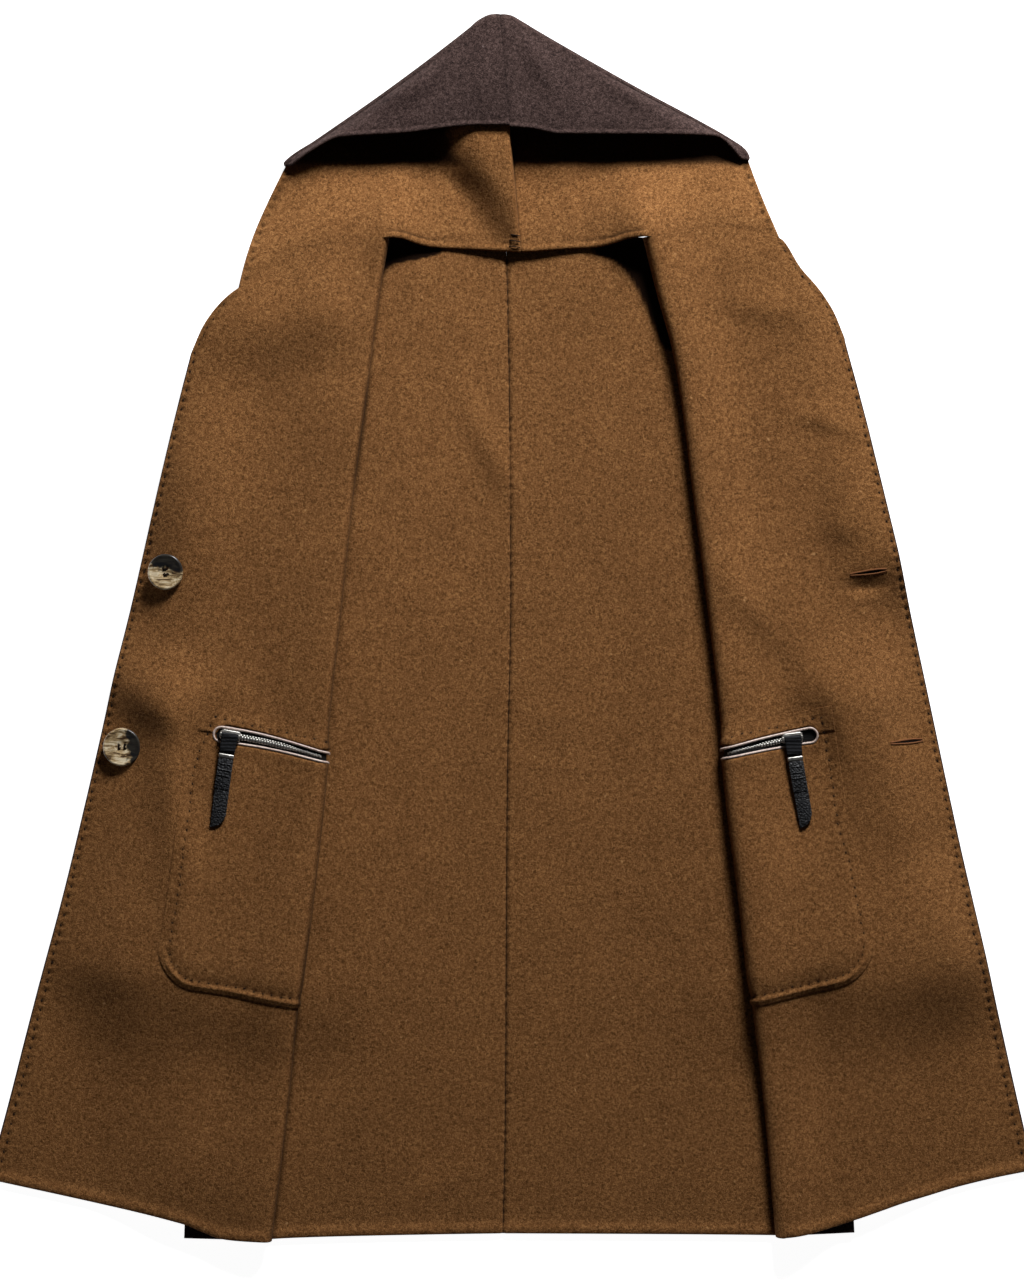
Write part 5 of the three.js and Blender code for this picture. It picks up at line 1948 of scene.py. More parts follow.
def on_line(front: FrontPanel, out: Points, y: Points, height: float) -> tuple[Points, Points, Points]:
    """Lays a line in plan on a front.

    Args:
        front: The front.
        out: Distances out along the line.
        y: Heights above the hem along it.
        height: How far off the middle of the cloth it lies.

    Returns:
        The line's points, its directions across and its directions away from the cloth.
    """
    past = front.past_of(out, y)
    upward = front.normal(past, y)
    path = front.surface(past, y) + upward * height
    return path, unit(np.cross(unit(np.gradient(path, axis=0)), upward)), upward


@dataclass(frozen=True)
class ZipOpening:
    """What shows in the mouth of a pocket: satin piping, woven tape and metal teeth."""

    mouth: Mouth
    piping_proud: float = 0.6
    tape: float = 0.6
    tooth_pitch: float = 2.5
    tooth: tuple[float, float, float] = (3.6, 1.9, 1.9)  # across, along and high
    sinks_from: float = 0.5
    slider_half: float = 9.0

    def piping(self, finishes: Finishes) -> bpy.types.Object:
        """Makes the piping, a rolled satin binding round the mouth.

        Args:
            finishes: The coat's finishes.

        Returns:
            The piece.
        """
        front = self.mouth.front
        out, y = self.mouth.ring(PIPING_WIDTH / 2)
        high = (POCKET_CLOTH + self.piping_proud) / 2
        path, across, upward = on_line(front, out, y, HALF + SEAM + high)
        part = tube(path, across, upward, PIPING_WIDTH / 2, high, 12)
        word = front.side.word
        return add_piece(f"piping_{word}", [part], finishes.piping, "piping", f"zip_piping_{word}")

    def tape_strip(self, finishes: Finishes) -> bpy.types.Object:
        """Makes the woven tape that fills the mouth.

        Args:
            finishes: The coat's finishes.

        Returns:
            The piece.
        """
        mouth, front = self.mouth, self.mouth.front
        end = mouth.outer[0] + mouth.half_outer - 0.4
        first = float(front.fold_out(mouth.fold[1])) + 0.5
        out = np.linspace(end, first, 70)[None, :]
        share = np.linspace(-1, 1, 9)[:, None]
        half = mouth.half_at(out, 0.2)
        y = mouth.centre_at(out) + half * share
        out, y = np.broadcast_arrays(out, y)
        low, high = (front.above(out, y, HALF + SEAM + rise) for rise in (0.0, self.tape))
        part = (np.concatenate([high.reshape(-1, 3), low.reshape(-1, 3)]), sheet_faces(*y.shape))
        word = front.side.word
        return add_piece(f"tape_{word}", [part], finishes.tape, "zip_tape", f"zip_tape_{word}")

    def teeth(self, finishes: Finishes) -> bpy.types.Object:
        """Makes the two meshing rows of metal teeth, which sink under the piping towards the fold.

        Args:
            finishes: The coat's finishes.

        Returns:
            The piece.
        """
        mouth, front = self.mouth, self.mouth.front
        start = mouth.slider - self.slider_half + 1
        end = float(front.fold_out(mouth.fold[1])) + 2.0
        count = int((start - end) / (self.tooth_pitch / 2))
        parts = []
        for k in range(count):
            out = start - k * self.tooth_pitch / 2
            sink = float(ease((k / count - self.sinks_from) / 0.3))
            across, along, high = self.tooth[0] * (1 - 0.5 * sink), self.tooth[1], self.tooth[2] * (1 - 0.6 * sink)
            low = HALF + SEAM + self.tape + 0.15 - 0.5 * sink
            share = float(mouth.share_at(out))
            spot = np.array([[out, float(mouth.line(share)[1])], mouth.line(share + 0.01)])
            base, tip = front.above(spot[:, 0], spot[:, 1], low)
            upward = front.normal(front.past_of(spot[:1, 0], spot[:1, 1]), spot[:1, 1])[0]
            run = unit(tip - base)
            side = unit(np.cross(upward, run)) * (1 if k % 2 else -1)
            away = 0.75 * (1 - 0.6 * sink)
            parts.append(self.tooth_shape(base + side * away, side, run, upward, across, along, high))
        word = front.side.word
        return add_piece(f"teeth_{word}", parts, finishes.nickel, "zip_metal", f"zip_chain_{word}")

    def tooth_shape(
        self, base: Points, side: Points, run: Points, upward: Points, across: float, along: float, high: float
    ) -> tuple[Points, Points]:
        """One tooth: a small block with a rounded back.

        Args:
            base: Middle of its foot.
            side: Direction out of the chain.
            run: Direction along the chain.
            upward: Direction off the tape.
            across: Its width.
            along: Its length on the chain.
            high: Its height.

        Returns:
            Its points and the corner numbers of its faces.
        """
        corners = ((-1, -0.7), (-0.8, -1), (0.8, -1), (1, -0.7), (1, 0.7), (0.8, 1), (-0.8, 1), (-1, 0.7))
        vertices = [
            base + side * a * across / 2 * shrink + run * b * along / 2 * shrink + upward * high * height
            for height, shrink in ((0.0, 0.9), (0.35, 1.0), (0.75, 0.97), (1.0, 0.7))
            for a, b in corners
        ]
        caps = [[7, 6, 5, 4], [7, 4, 3, 0], [0, 3, 2, 1], [24, 25, 26, 27], [24, 27, 28, 31], [31, 28, 29, 30]]
        return np.array(vertices), np.concatenate([quads(4, 8, close=True), np.array(caps)])

    def build(self, finishes: Finishes) -> list[bpy.types.Object]:
        """Makes all that shows in the mouth."""
        return [self.piping(finishes), self.tape_strip(finishes), self.teeth(finishes)]


@dataclass(frozen=True)
class Placed:
    """A local frame in the lay: an origin and three directions."""

    origin: Points
    x: Points
    y: Points
    z: Points

    def at(self, points: Points) -> Points:
        """Turns local points into lay points."""
        points = np.asarray(points, float)
        return self.origin + points[..., :1] * self.x + points[..., 1:2] * self.y + points[..., 2:3] * self.z


def hinge_frame(side: Side) -> Placed:
    """The frame of a zip pull's hinge: x along the slider's bar, y up the coat, z up.

    Args:
        side: Which pull.

    Returns:
        The frame.
    """
    joint = next(j for j in frame["joints"] if j["name"] == f"pull_{side.word}_hinge")
    origin = np.array(joint["pos_m"]) / MM - SHIFT
    x = unit(np.array(joint["axis"], float))
    x = x if x[0] > 0 else -x
    return Placed(origin, x, np.cross(Z, x), Z)


def rounded_prism(
    outline: Sequence[tuple[float, float]], low: float, high: float, bevel: float, steps: int = 3
) -> tuple[Points, list[list[int]]]:
    """A plate with rounded edges.

    Args:
        outline: Its outline in plan, anticlockwise.
        low: Height of its lower face.
        high: Height of its upper face.
        bevel: Radius of its edges.
        steps: Steps of the rounding.

    Returns:
        Its points and faces.
    """
    work = bmesh.new()
    ring = [work.verts.new((x, y, low)) for x, y in outline]
    face = work.faces.new(ring[::-1])
    made = bmesh.ops.extrude_face_region(work, geom=[face])
    for vertex in [g for g in made["geom"] if isinstance(g, bmesh.types.BMVert)]:
        vertex.co.z = high
    bmesh.ops.recalc_face_normals(work, faces=work.faces)
    bmesh.ops.bevel(work, geom=list(work.edges), offset=bevel, segments=steps, affect="EDGES", profile=0.5)
    work.verts.index_update()
    points = np.array([tuple(v.co) for v in work.verts])
    faces = [[v.index for v in f.verts] for f in work.faces]
    work.free()
    return points, faces


@dataclass(frozen=True)
class ZipPull:
    """The slider, and the pull that turns on its bar: ribbon loop, band and strap."""

    side: Side
    bar_height: float = 6.9
    length: float = 18.0
    width: float = 9.0
    low: float = 1.2
    high: float = 4.2
    post: float = 1.7
    ribbon: float = 14.0
    reach: float = 15.8
    band_start: float = 16.1
    band_length: float = 3.6
    band_width: float = 13.6
    strap_start: float = 20.0
    strap_tip: float = 81.0
    strap_width: float = 13.0
    bend: float = 3.0  # how far the strap's tip is bent across
    along_bar: float = 0.0  # how far along its bar the pull sits
    strap_cut: float = 13.0
    double_end: float = 47.0
    clear: float = 2.7

    def slider(self, finishes: Finishes) -> bpy.types.Object:
        """Makes the slider with its posts and bar.

        Args:
            finishes: The coat's finishes.

        Returns:
            The piece.
        """
        place = hinge_frame(self.side)
        down = self.bar_height
        half = self.length / 2
        w = self.width
        body = (
            (-half, -0.3 * w), (-0.7 * half, -0.5 * w), (0.8 * half, -0.5 * w), (half, -0.36 * w),
            (half, 0.36 * w), (0.8 * half, 0.5 * w), (-0.7 * half, 0.5 * w), (-half, 0.3 * w),
        )
        parts = [rounded_prism(body, self.low - down, self.high - down, 0.7)]
        for end in (-1, 1):
            x = end * (half - self.post / 2)
            p, q = self.post / 2, 1.7
            block = ((x - p, -q), (x + p, -q), (x + p, q), (x - p, q))
            parts.append(rounded_prism(block, self.low - down + 0.2, 1.3, 0.4))
        path = stack(np.linspace(-half + self.post, half - self.post, 5), 0, 0)
        parts.append(tube(path, Y, Z, 0.8, 0.8, 12))
        shifted = [(place.at(points + self.along_bar * X), faces) for points, faces in parts]
        word = self.side.word
        return add_piece(f"slider_{word}", shifted, finishes.nickel, "zip_metal", f"zip_slider_{word}")

    def pull_frame(self) -> Placed:
        """The pull's own frame at rest: y from its tip towards the bar, leaning down a little.

        Returns:
            The frame.
        """
        place = hinge_frame(self.side)
        angle = math.asin((self.bar_height - 1 - self.clear) / self.strap_tip)
        y = place.y * math.cos(angle) + place.z * math.sin(angle)
        z = place.z * math.cos(angle) - place.y * math.sin(angle)
        return Placed(place.origin + place.x * self.along_bar, place.x, y, z)

    def pull_piece(
        self, name: str, parts: Sequence[Part], finish: bpy.types.Material, slot: str, node: str
    ) -> bpy.types.Object:
        """Makes a piece of the pull from parts in the pull's own frame.

        Args:
            name: The piece's name, without its side.
            parts: Its parts.
            finish: Its material.
            slot: The slot of its finish.
            node: The node that it takes the place of, without its side.

        Returns:
            The piece, on the pull's body.
        """
        word, place = self.side.word, self.pull_frame()
        placed = [(place.at(points), faces) for points, faces in parts]
        return add_piece(f"{name}_{word}", placed, finish, slot, f"{node}_{word}", f"pull_{word}")

    def loop(self, finishes: Finishes) -> bpy.types.Object:
        """Makes the ribbon that goes round the bar and down to the band.

        Args:
            finishes: The coat's finishes.

        Returns:
            The piece.
        """
        section = []
        for radius, thick in ((2.25, 1.28), (1.15, 0.12)):
            lane = [(self.reach, thick)]
            lane += [(self.reach - 4 - k * 2.4, thick) for k in range(4)]
            angles = [math.radians(66 + 228 * k / 10) for k in range(11)]
            lane += [(radius * math.cos(angle), radius * math.sin(angle)) for angle in angles]
            lane += [(self.reach - 4 - k * 2.4, -thick) for k in (3, 2, 1, 0)]
            lane.append((self.reach, -thick))
            section.append(lane)
        ring = np.array(section[0] + section[1][::-1])
        across = np.linspace(-1, 1, 13)[:, None]
        half = (self.ribbon / 2) * (1 - 0.06 * np.clip(ring[:, 0] / self.reach, 0, 1))
        points = stack(across * half, -ring[:, 0], ring[:, 1] * (1 - 0.12 * across * across))
        count, lane = len(ring), len(section[0])
        ends = []
        for k in range(lane - 1):
            quad = [k, k + 1, count - 2 - k, count - 1 - k]
            ends += [quad[::-1], [n + (len(across) - 1) * count for n in quad]]
        faces = np.concatenate([quads(len(across), count, close=True), np.array(ends)])
        part = (points.reshape(-1, 3), faces)
        piece = self.pull_piece("ribbon", [part], finishes.ribbon, "pull_ribbon", "pull_loop")
        return piece

    def band(self, finishes: Finishes) -> bpy.types.Object:
        """Makes the domed metal band.

        Args:
            finishes: The coat's finishes.

        Returns:
            The piece.
        """
        half, start, end = self.band_width / 2, -self.band_start, -self.band_start - self.band_length
        outline = ((-half, end), (half, end), (half, start), (-half, start))
        part = rounded_prism(outline, -1.6, 1.75, 1.0, 4)
        return self.pull_piece("band", [part], finishes.nickel, "zip_metal", "pull_band")

    def strap(self, finishes: Finishes) -> bpy.types.Object:
        """Makes the strap, doubled near the band, with a slanting round cut at its tip.

        Args:
            finishes: The coat's finishes.

        Returns:
            The piece.
        """
        half = self.strap_width / 2
        parts = []
        for end, low, high, inset, cut in (
            (self.strap_tip, -1.0, 0.75, 0.0, True),
            (self.double_end, 0.7, 1.25, 0.35, False),
        ):
            h = half - inset
            outline = [(-h, -end)]
            if cut:
                for k in range(1, 9):
                    t = k / 8
                    x = (1 - t) ** 2 * -h + 2 * t * (1 - t) * h * 0.7 + t * t * h
                    y = (1 - t) ** 2 * -end + 2 * t * (1 - t) * (-end + 2) + t * t * (-end + self.strap_cut)
                    outline.append((x, y))
            else:
                outline.append((h, -end))
            outline += [(h, -self.strap_start), (-h, -self.strap_start)]
            parts.append(rounded_prism(outline, low, high, 0.3))
        for ridge in range(3):
            y = -self.strap_start - 4.5 - 5.0 * ridge
            block = ((-half + 1.6, y - 0.9), (half - 1.6, y - 0.9), (half - 1.6, y), (-half + 1.6, y))
            parts.append(rounded_prism(block, 1.1, 1.75, 0.28, 2))
        for points, _ in parts:
            down = np.clip((-points[:, 1] - self.strap_start) / (self.strap_tip - self.strap_start), 0, 1)
            points[:, 0] += self.bend * down**2
        return self.pull_piece("strap", parts, finishes.strap, "pull_strap", "pull_strap")

    def build(self, finishes: Finishes) -> list[bpy.types.Object]:
        """Makes the slider and the pull."""
        return [self.slider(finishes), self.loop(finishes), self.band(finishes), self.strap(finishes)]


# ---------------------------------------------------------------- buttons, buttonholes, stitches


@dataclass(frozen=True)
class Button:
    """A horn button, dished round its four holes and sewn on with a wound thread shank."""

    name: str
    front: FrontPanel
    out: float
    y: float
    turn: float
    towards: float
    dark_from: float
    radius: float = 15.5
    height: float = 3.4
    dish: float = 5.2
    hole: float = 1.25
    spacing: float = 5.0
    hole_share: float = 0.32  # half the spacing the other way, as a share of it
    steps: int = 64  # round the disc
    upright: float = 0.7  # how far the button stands level rather than square to the cloth
    shank: float = 1.4

    def place(self) -> Placed:
        """The button's frame on the cloth, with z away from it.

        Returns:
            The frame.
        """
        out, y = np.array([self.out]), np.array([self.y])
        z = unit(mix(self.front.normal(self.front.past_of(out, y), y)[0], Z, self.upright))
        x = unit(np.cross(Y, z))
        y_way, angle = np.cross(z, x), math.radians(self.turn)
        turned = x * math.cos(angle) + y_way * math.sin(angle), y_way * math.cos(angle) - x * math.sin(angle)
        return Placed(self.front.above(out, y, HALF)[0], *turned, z)

    def turned_disc(self, work: bmesh.types.BMesh) -> None:
        """Turns the disc's profile about its middle.

        Args:
            work: The mesh to add to.
        """
        r, h, dish = self.radius, self.height, self.dish
        profile = ((0, 0), (r - 3.2, 0), (r - 1.4, 0.3), (r - 0.4, 1.0), (r, 1.9), (r - 0.2, h - 0.8),
                   (r - 0.6, h - 0.3), (r - 1.2, h), (r - 2.2, h - 0.1), (r - 3.2, h - 0.45), (r - 5.0, h - 0.6),
                   (dish + 1.4, h - 0.8), (dish + 0.4, h - 1.0), (dish - 0.4, h - 1.3), (dish - 2.0, h - 1.5),
                   (0, h - 1.5))
        turns = [2 * math.pi * k / self.steps for k in range(self.steps)]
        rings = []
        for radius, z in profile:
            ways = turns if radius else turns[:1]
            rings.append([work.verts.new((radius * math.cos(a), radius * math.sin(a), z)) for a in ways])
        for below, above in zip(rings, rings[1:]):
            for k in range(self.steps):
                after = (k + 1) % self.steps
                corners = (below[k % len(below)], below[after % len(below)],
                           above[after % len(above)], above[k % len(above)])
                work.faces.new(list(dict.fromkeys(corners)))
        bmesh.ops.recalc_face_normals(work, faces=work.faces)

    def drill(self, work: bmesh.types.BMesh) -> None:
        """Makes the four drills that cut its holes.

        Args:
            work: The mesh to add to.
        """
        for x in (-1, 1):
            for y in (-1, 1):
                made = bmesh.ops.create_cone(
                    work, cap_ends=True, segments=16, radius1=self.hole, radius2=self.hole, depth=3 * self.height
                )
                place = (x * self.spacing / 2, y * self.spacing * self.hole_share, 0)
                bmesh.ops.translate(work, verts=made["verts"], vec=place)

    def disc(self, finish: bpy.types.Material) -> bpy.types.Object:
        """Makes the horn disc with its four holes.

        Args:
            finish: The horn.

        Returns:
            The piece.
        """
        tools = []
        for name, maker in (("disc", self.turned_disc), ("drill", self.drill)):
            work = bmesh.new()
            maker(work)
            mesh = bpy.data.meshes.new(name)
            work.to_mesh(mesh)
            work.free()
            tools.append(new_object(name, mesh))
        disc, drill = tools
        cut = disc.modifiers.new("holes", "BOOLEAN")
        cut.object, cut.operation, cut.solver = drill, "DIFFERENCE", "EXACT"
        shown = disc.evaluated_get(bpy.context.evaluated_depsgraph_get()).to_mesh()
        points = np.array([tuple(v.co) for v in shown.vertices]) + (2 * SEAM + self.shank) * Z
        faces = [list(p.vertices) for p in shown.polygons]
        for tool in tools:
            bpy.data.objects.remove(tool)
        piece = make_mesh(f"horn_button_{self.name}", self.place().at(points), faces, (finish,))
        return settle(piece, "horn", f"button_{self.name}")

    def thread(self, finish: bpy.types.Material) -> bpy.types.Object:
        """Makes the thread: the wound shank and two bars over the holes.

        Args:
            finish: The thread's finish.

        Returns:
            The piece.
        """
        turns, per_turn = 9, 14
        angles = np.linspace(0, 2 * math.pi * turns, turns * per_turn)
        z = np.linspace(0.2, self.shank + 0.5, len(angles))
        outward = stack(np.cos(angles), np.sin(angles), 0)
        path = 1.55 * outward + z[:, None] * Z
        parts = [tube(path, outward, Z, 0.42, 0.26, 6)]
        top = 2 * SEAM + self.shank + self.height - 1.3
        share = np.linspace(-1, 1, 9)
        for x in (-1, 1):
            for shift in (-0.28, 0.28):
                reach = self.spacing * self.hole_share + 0.5
                middle = stack(x * self.spacing / 2 + shift, share * reach, top + 0.4 * (1 - share**4))
                parts.append(tube(middle, X, Z, 0.5, 0.34))
        placed = [(self.place().at(points), faces) for points, faces in parts]
        return add_piece(f"shank_thread_{self.name}", placed, finish, "thread", f"button_shank_{self.name}")

    def build(self, finishes: Finishes) -> list[bpy.types.Object]:
        """Makes the button and its thread.

        Args:
            finishes: The coat's finishes.

        Returns:
            The pieces.
        """
        centre = self.place().origin
        name = f"polished_horn_{self.name}"
        horn = PolishedHorn(name, (centre[0], centre[1]), self.radius, self.towards, self.dark_from)
        return [self.disc(horn.build()), self.thread(finishes.thread)]


@dataclass(frozen=True)
class Buttonhole:
    """A straight buttonhole: a slit between two lips of close thread."""

    name: str
    front: FrontPanel
    start: tuple[float, float]
    end: tuple[float, float]
    lip: float = 0.75
    gap: float = 1.05

    def build(self, finishes: Finishes) -> list[bpy.types.Object]:
        """Makes the lips, and a dark strip of painted shade in the slit between them.

        Args:
            finishes: The coat's finishes.

        Returns:
            The pieces.
        """
        front = self.front
        share = np.linspace(0, 1, 40)
        out, y = mix(self.start[0], self.end[0], share), mix(self.start[1], self.end[1], share)
        slope = unit(np.array([self.end[0] - self.start[0], self.end[1] - self.start[1]]))
        open_share = np.sin(math.pi * share**1.5) ** 0.6
        parts = []
        for side in (-1, 1):
            reach = side * (self.gap * open_share + self.lip * 0.8)
            line = on_line(front, out - slope[1] * reach, y + slope[0] * reach, HALF + 0.1)
            ripple = self.lip * (1 + 0.16 * np.sin(share * 130))
            parts.append(tube(*line, ripple, ripple * 0.9))
        lips = add_piece(f"buttonhole_lips_{self.name}", parts, finishes.buttonhole, "thread")
        # painted shade: a thin strip of charcoal wool, all painted with shade, stands for the shade inside the slit
        part = tube(*on_line(front, out, y, HALF + 0.12), self.gap * open_share + 0.2, 0.12)
        pressed = np.ones(len(part[0]))
        slit = add_piece(f"buttonhole_slit_{self.name}", [part], finishes.wool_outer, "thread", pressed=pressed)
        return [lips, slit]


@dataclass
class HandStitches:
    """The threads of a row of pick stitches, each sunk in its own dimple; their dark colour also stands for the shade
    in the dimples.
    """

    name: str
    line: StitchLine
    lay: Callable[[Points, Points], tuple[Points, Points]]
    length: float = 2.9
    width: float = 0.62
    slant: float = 24.0

    def build(self, finishes: Finishes) -> bpy.types.Object:
        """Makes all the stitches of the row as one piece.

        Args:
            finishes: The coat's finishes.

        Returns:
            The piece.
        """
        spots, runs = self.line.places()
        points, normals = self.lay(spots[:, 0], spots[:, 1])
        parts = []
        share = np.linspace(-1, 1, 5)
        angle = math.radians(self.slant)
        for spot, run, normal in zip(points, runs, normals):
            ahead = unit(np.array([run[0] * math.cos(angle) - run[1] * math.sin(angle),
                                   run[1] * math.cos(angle) + run[0] * math.sin(angle), 0.0]))
            side = unit(np.cross(normal, ahead))
            path = spot + ahead * (share * self.length / 2)[:, None] + normal * (0.3 * (1 - share**2) - 0.2)[:, None]
            thick = self.width * np.sqrt(np.clip(1 - 0.85 * share**2, 0.1, 1))
            parts.append(tube(path, side, normal, thick, thick * 0.7, 6))
        return add_piece(self.name, parts, finishes.thread, "thread")


@dataclass(frozen=True)
class SeamThread:
    """The thread that shows in the groove of the centre seam of the back."""

    back: BackPanel
    radius: float = 0.26

    def build(self, finishes: Finishes) -> bpy.types.Object:
        """Makes the thread.

        Args:
            finishes: The coat's finishes.

        Returns:
            The piece.
        """
        y = np.linspace(self.back.hem_middle + 3, self.back.top - 20, 300)
        x = self.back.seam.at(y) + 0.12 * np.sin(y * 0.74)
        z = BACK_MIDDLE + HALF - self.back.groove - 0.1 + 0.12 * np.sin(y * 0.74 + 1)
        part = tube(stack(x, y, z), X, Z, self.radius, self.radius)
        return add_piece("seam_thread_back", [part], finishes.thread, "thread")


@dataclass(frozen=True)
class BarTack:
    """Three heavy stitches across the centre seam of the hood, just above the neck."""

    centre: tuple[float, float] = (2.4, 868.0)
    spacing: float = 4.6
    length: float = 9.5
    height: float = 12.6

    def build(self, finishes: Finishes) -> bpy.types.Object:
        """Makes the stitches.

        Args:
            finishes: The coat's finishes.

        Returns:
            The piece.
        """
        share = np.linspace(-1, 1, 11)
        parts = []
        for k in (-1, 0, 1):
            x = self.centre[0] + share * self.length / 2
            y = self.centre[1] + k * self.spacing - 0.6 * share + 0.3 * k
            z = self.height - 1.4 * share**2 + 0.8 * k
            parts.append(tube(stack(x, y, z), Y, Z, 0.45, 0.4))
        return add_piece("bar_tack_hood", parts, finishes.thread, "thread")


# ---------------------------------------------------------------- the coat's own sizes

LEFT_FRONT = FrontPanel(
    side=Side.LEFT,
    roll=5.5,
    slack=45.0,
    side_hem=285.0,
    hem_height=2.0,
    edge_top=770.0,
    notch=236.6,
    area=0.259,
    fold=Line(((0, 208.4), (122, 193.5), (209, 184.5), (296, 173.6), (383, 164), (470, 156.2), (557, 146.6),
               (644, 137.5), (731, 126), (818, 114.8), (870, 106))),
    edge=Line(((54, 456), (122, 437.6), (209, 415), (296, 391.5), (383, 370.6), (470, 350.6), (557, 329.7),
               (644, 309), (731, 288), (782, 275))),
    top=Line(((106, 870), (175, 862), (236.6, 826.5), (249, 817), (266, 796), (278, 770))),
    support=Line(((0, 285), (130, 287), (200, 316), (310, 317), (400, 307), (470, 292), (545, 284), (650, 273),
                  (740, 258), (826, 236.6), (870, 236.6))),
    tight=Line(((0, 0.85), (150, 0.75), (195, 1.0), (255, 1.0), (285, 0.7), (560, 0.68), (650, 0.7), (672, 1.0),
                (732, 1.0), (756, 0.6), (820, 0.6), (848, 0.9), (870, 1.0))),
    corner_shade=Line(((0, 400), (812, 400), (830, 118), (838.7, 111.8), (847.6, 101.8), (851.2, 86), (853.5, 74),
                       (858, 60), (880, 50))),
    swells=(
        Swell(-220, 798, 64, 44, 40, 4, 9.0),
        Swell(-162, 806, 26, 56, 30, 10, 4.5),
        Swell(-104, 870, 17, 40, 28, 0, 6.0),
        Swell(-150, 716, 34, 34, 40, 20, 2.5),
        Swell(-290, 655, 44, 170, 84, 6, 9.0),
        Swell(-318, 478, 56, 36, 27, -35, 10.0),
        Swell(-296, 460, 30, 44, 17, -38, 4.0),
        Swell(-292, 404, 20, 44, 120, 0, 10.0),
        Swell(-352, 246, 50, 80, 36, -4, 7.0),
        Swell(-243, 214, 72, 90, 60, -14, 6.5),
        Swell(-225, 330, 40, 60, 50, 10, 2.0),
        Swell(-262, 66, 50, 70, 60, -20, 6.0),
    ),
)
RIGHT_FRONT = FrontPanel(
    side=Side.RIGHT,
    roll=7.5,
    side_hem=298.0,
    hem_height=7.0,
    hem_corner=61.0,
    fold_low=4.0,
    hem_rise=Line(((0, 4), (20, 6), (45, 11.5), (70, 19.2), (90, 26), (111, 33), (132, 39), (153, 45.2), (173.5, 50.5),
                   (194.4, 55.3), (208, 58), (250, 66))),
    edge_top=782.0,
    notch=231.4,
    area=0.241,
    fold=Line(((0, 229), (122, 218), (209, 207.5), (296, 197.9), (383, 186.8), (470, 178.6), (557, 168.3),
               (644, 157), (731, 146), (774, 138.3), (818, 126.2), (870, 113))),
    edge=Line(((54, 455.6), (122, 440), (209, 420.2), (296, 400), (383, 381.1), (470, 362.8), (557, 343.7),
               (644, 323), (731, 302), (782, 288.5))),
    top=Line(((124, 870), (170, 879), (231.4, 870), (250, 844), (266, 826), (278, 808), (289, 782))),
    support=Line(((0, 298), (130, 300), (200, 329), (310, 330), (400, 320), (470, 305), (545, 291), (650, 274),
                  (740, 259), (826, 243), (870, 231.4))),
    swells=(
        Swell(220, 809, 32, 18, 12, -8, 2.6),
        Swell(208, 852, 60, 40, 64, 0, 5.0),
        Swell(274, 710, 34, 16, 8, -16, 2.2),
        Swell(334, 604, 44, 170, 46, 10, 22.0),
        Swell(287, 622, 18, 60, 17, 0, 4.0),
        Swell(112, 868, 17, 40, 26, 0, 5.0),
        Swell(214, 548, 60, 50, 17, -50, 5.5),
        Swell(286, 462, 46, 58, 90, -4, 15.0),
        Swell(305, 568, 17, 8, 6, 8, -3.0),
        Swell(386, 250, 40, 80, 46, 6, 14.0),
        Swell(330, 232, 50, 70, 40, 10, 4.0),
        Swell(262, 250, 40, 120, 40, 8, 5.5),
        Swell(352, 372, 40, 60, 26, 10, 3.0),
    ),
)

LEFT_HOOD = Hood(
    front=LEFT_FRONT,
    area=0.041,
    neck_corner=106.0,
    slant=35.0,
    fold=Line(((0, 1066), (8, 1065.6), (18.7, 1061), (28.3, 1053), (98, 1000.5), (160.5, 957), (187, 939), (189, 936))),
    lip=Line(((0, 966.6), (26, 966.6), (95, 960), (148, 957), (166, 949), (189, 934))),
    fold_end=-199.0,
    lip_end=-191.0,
    ridge_height=20.6,
    lip_height=Line(((0, 25.5), (0.3, 24), (0.6, 21.5), (0.8, 18.5), (0.93, 13.5), (1, 6))),
    bulge=5.0,
    swells=(Swell(-120, 905, 40, 16, 12, 35, 1.2),),
    top_swells=(Swell(-92, 1002, 34, 14, 12, 33, 10.0), Swell(-24, 1008, 40, 10, 9, 78, 2.0)),
)
RIGHT_HOOD = Hood(
    front=RIGHT_FRONT,
    area=0.042,
    neck_corner=113.0,
    slant=30.0,
    fold=Line(((0, 1066), (8, 1065), (17, 1060.5), (30, 1052.7), (60, 1035.3), (122, 1000.5), (171, 974.4),
               (201.4, 957), (213.6, 948), (217, 941))),
    lip=Line(((0, 965), (18, 964), (44, 959.6), (113, 959.6), (178, 959), (201, 940))),
    fold_end=207.0,
    lip_end=199.0,
    ridge_height=0.0,
    lip_height=Line(((0, 25.5), (0.12, 22.5), (0.3, 20.5), (0.6, 20), (0.8, 17.5), (0.93, 12), (1, 6))),
    bulge=-1.0,
    swells=(Swell(52, 898, 26, 8, 6, 95, 1.3), Swell(42, 930, 22, 12, 10, 10, 2.0)),
    top_swells=(Swell(104, 1001, 36, 14, 12, -30, 9.0), Swell(22, 1026, 28, 12, 9, -62, 5.0)),
)


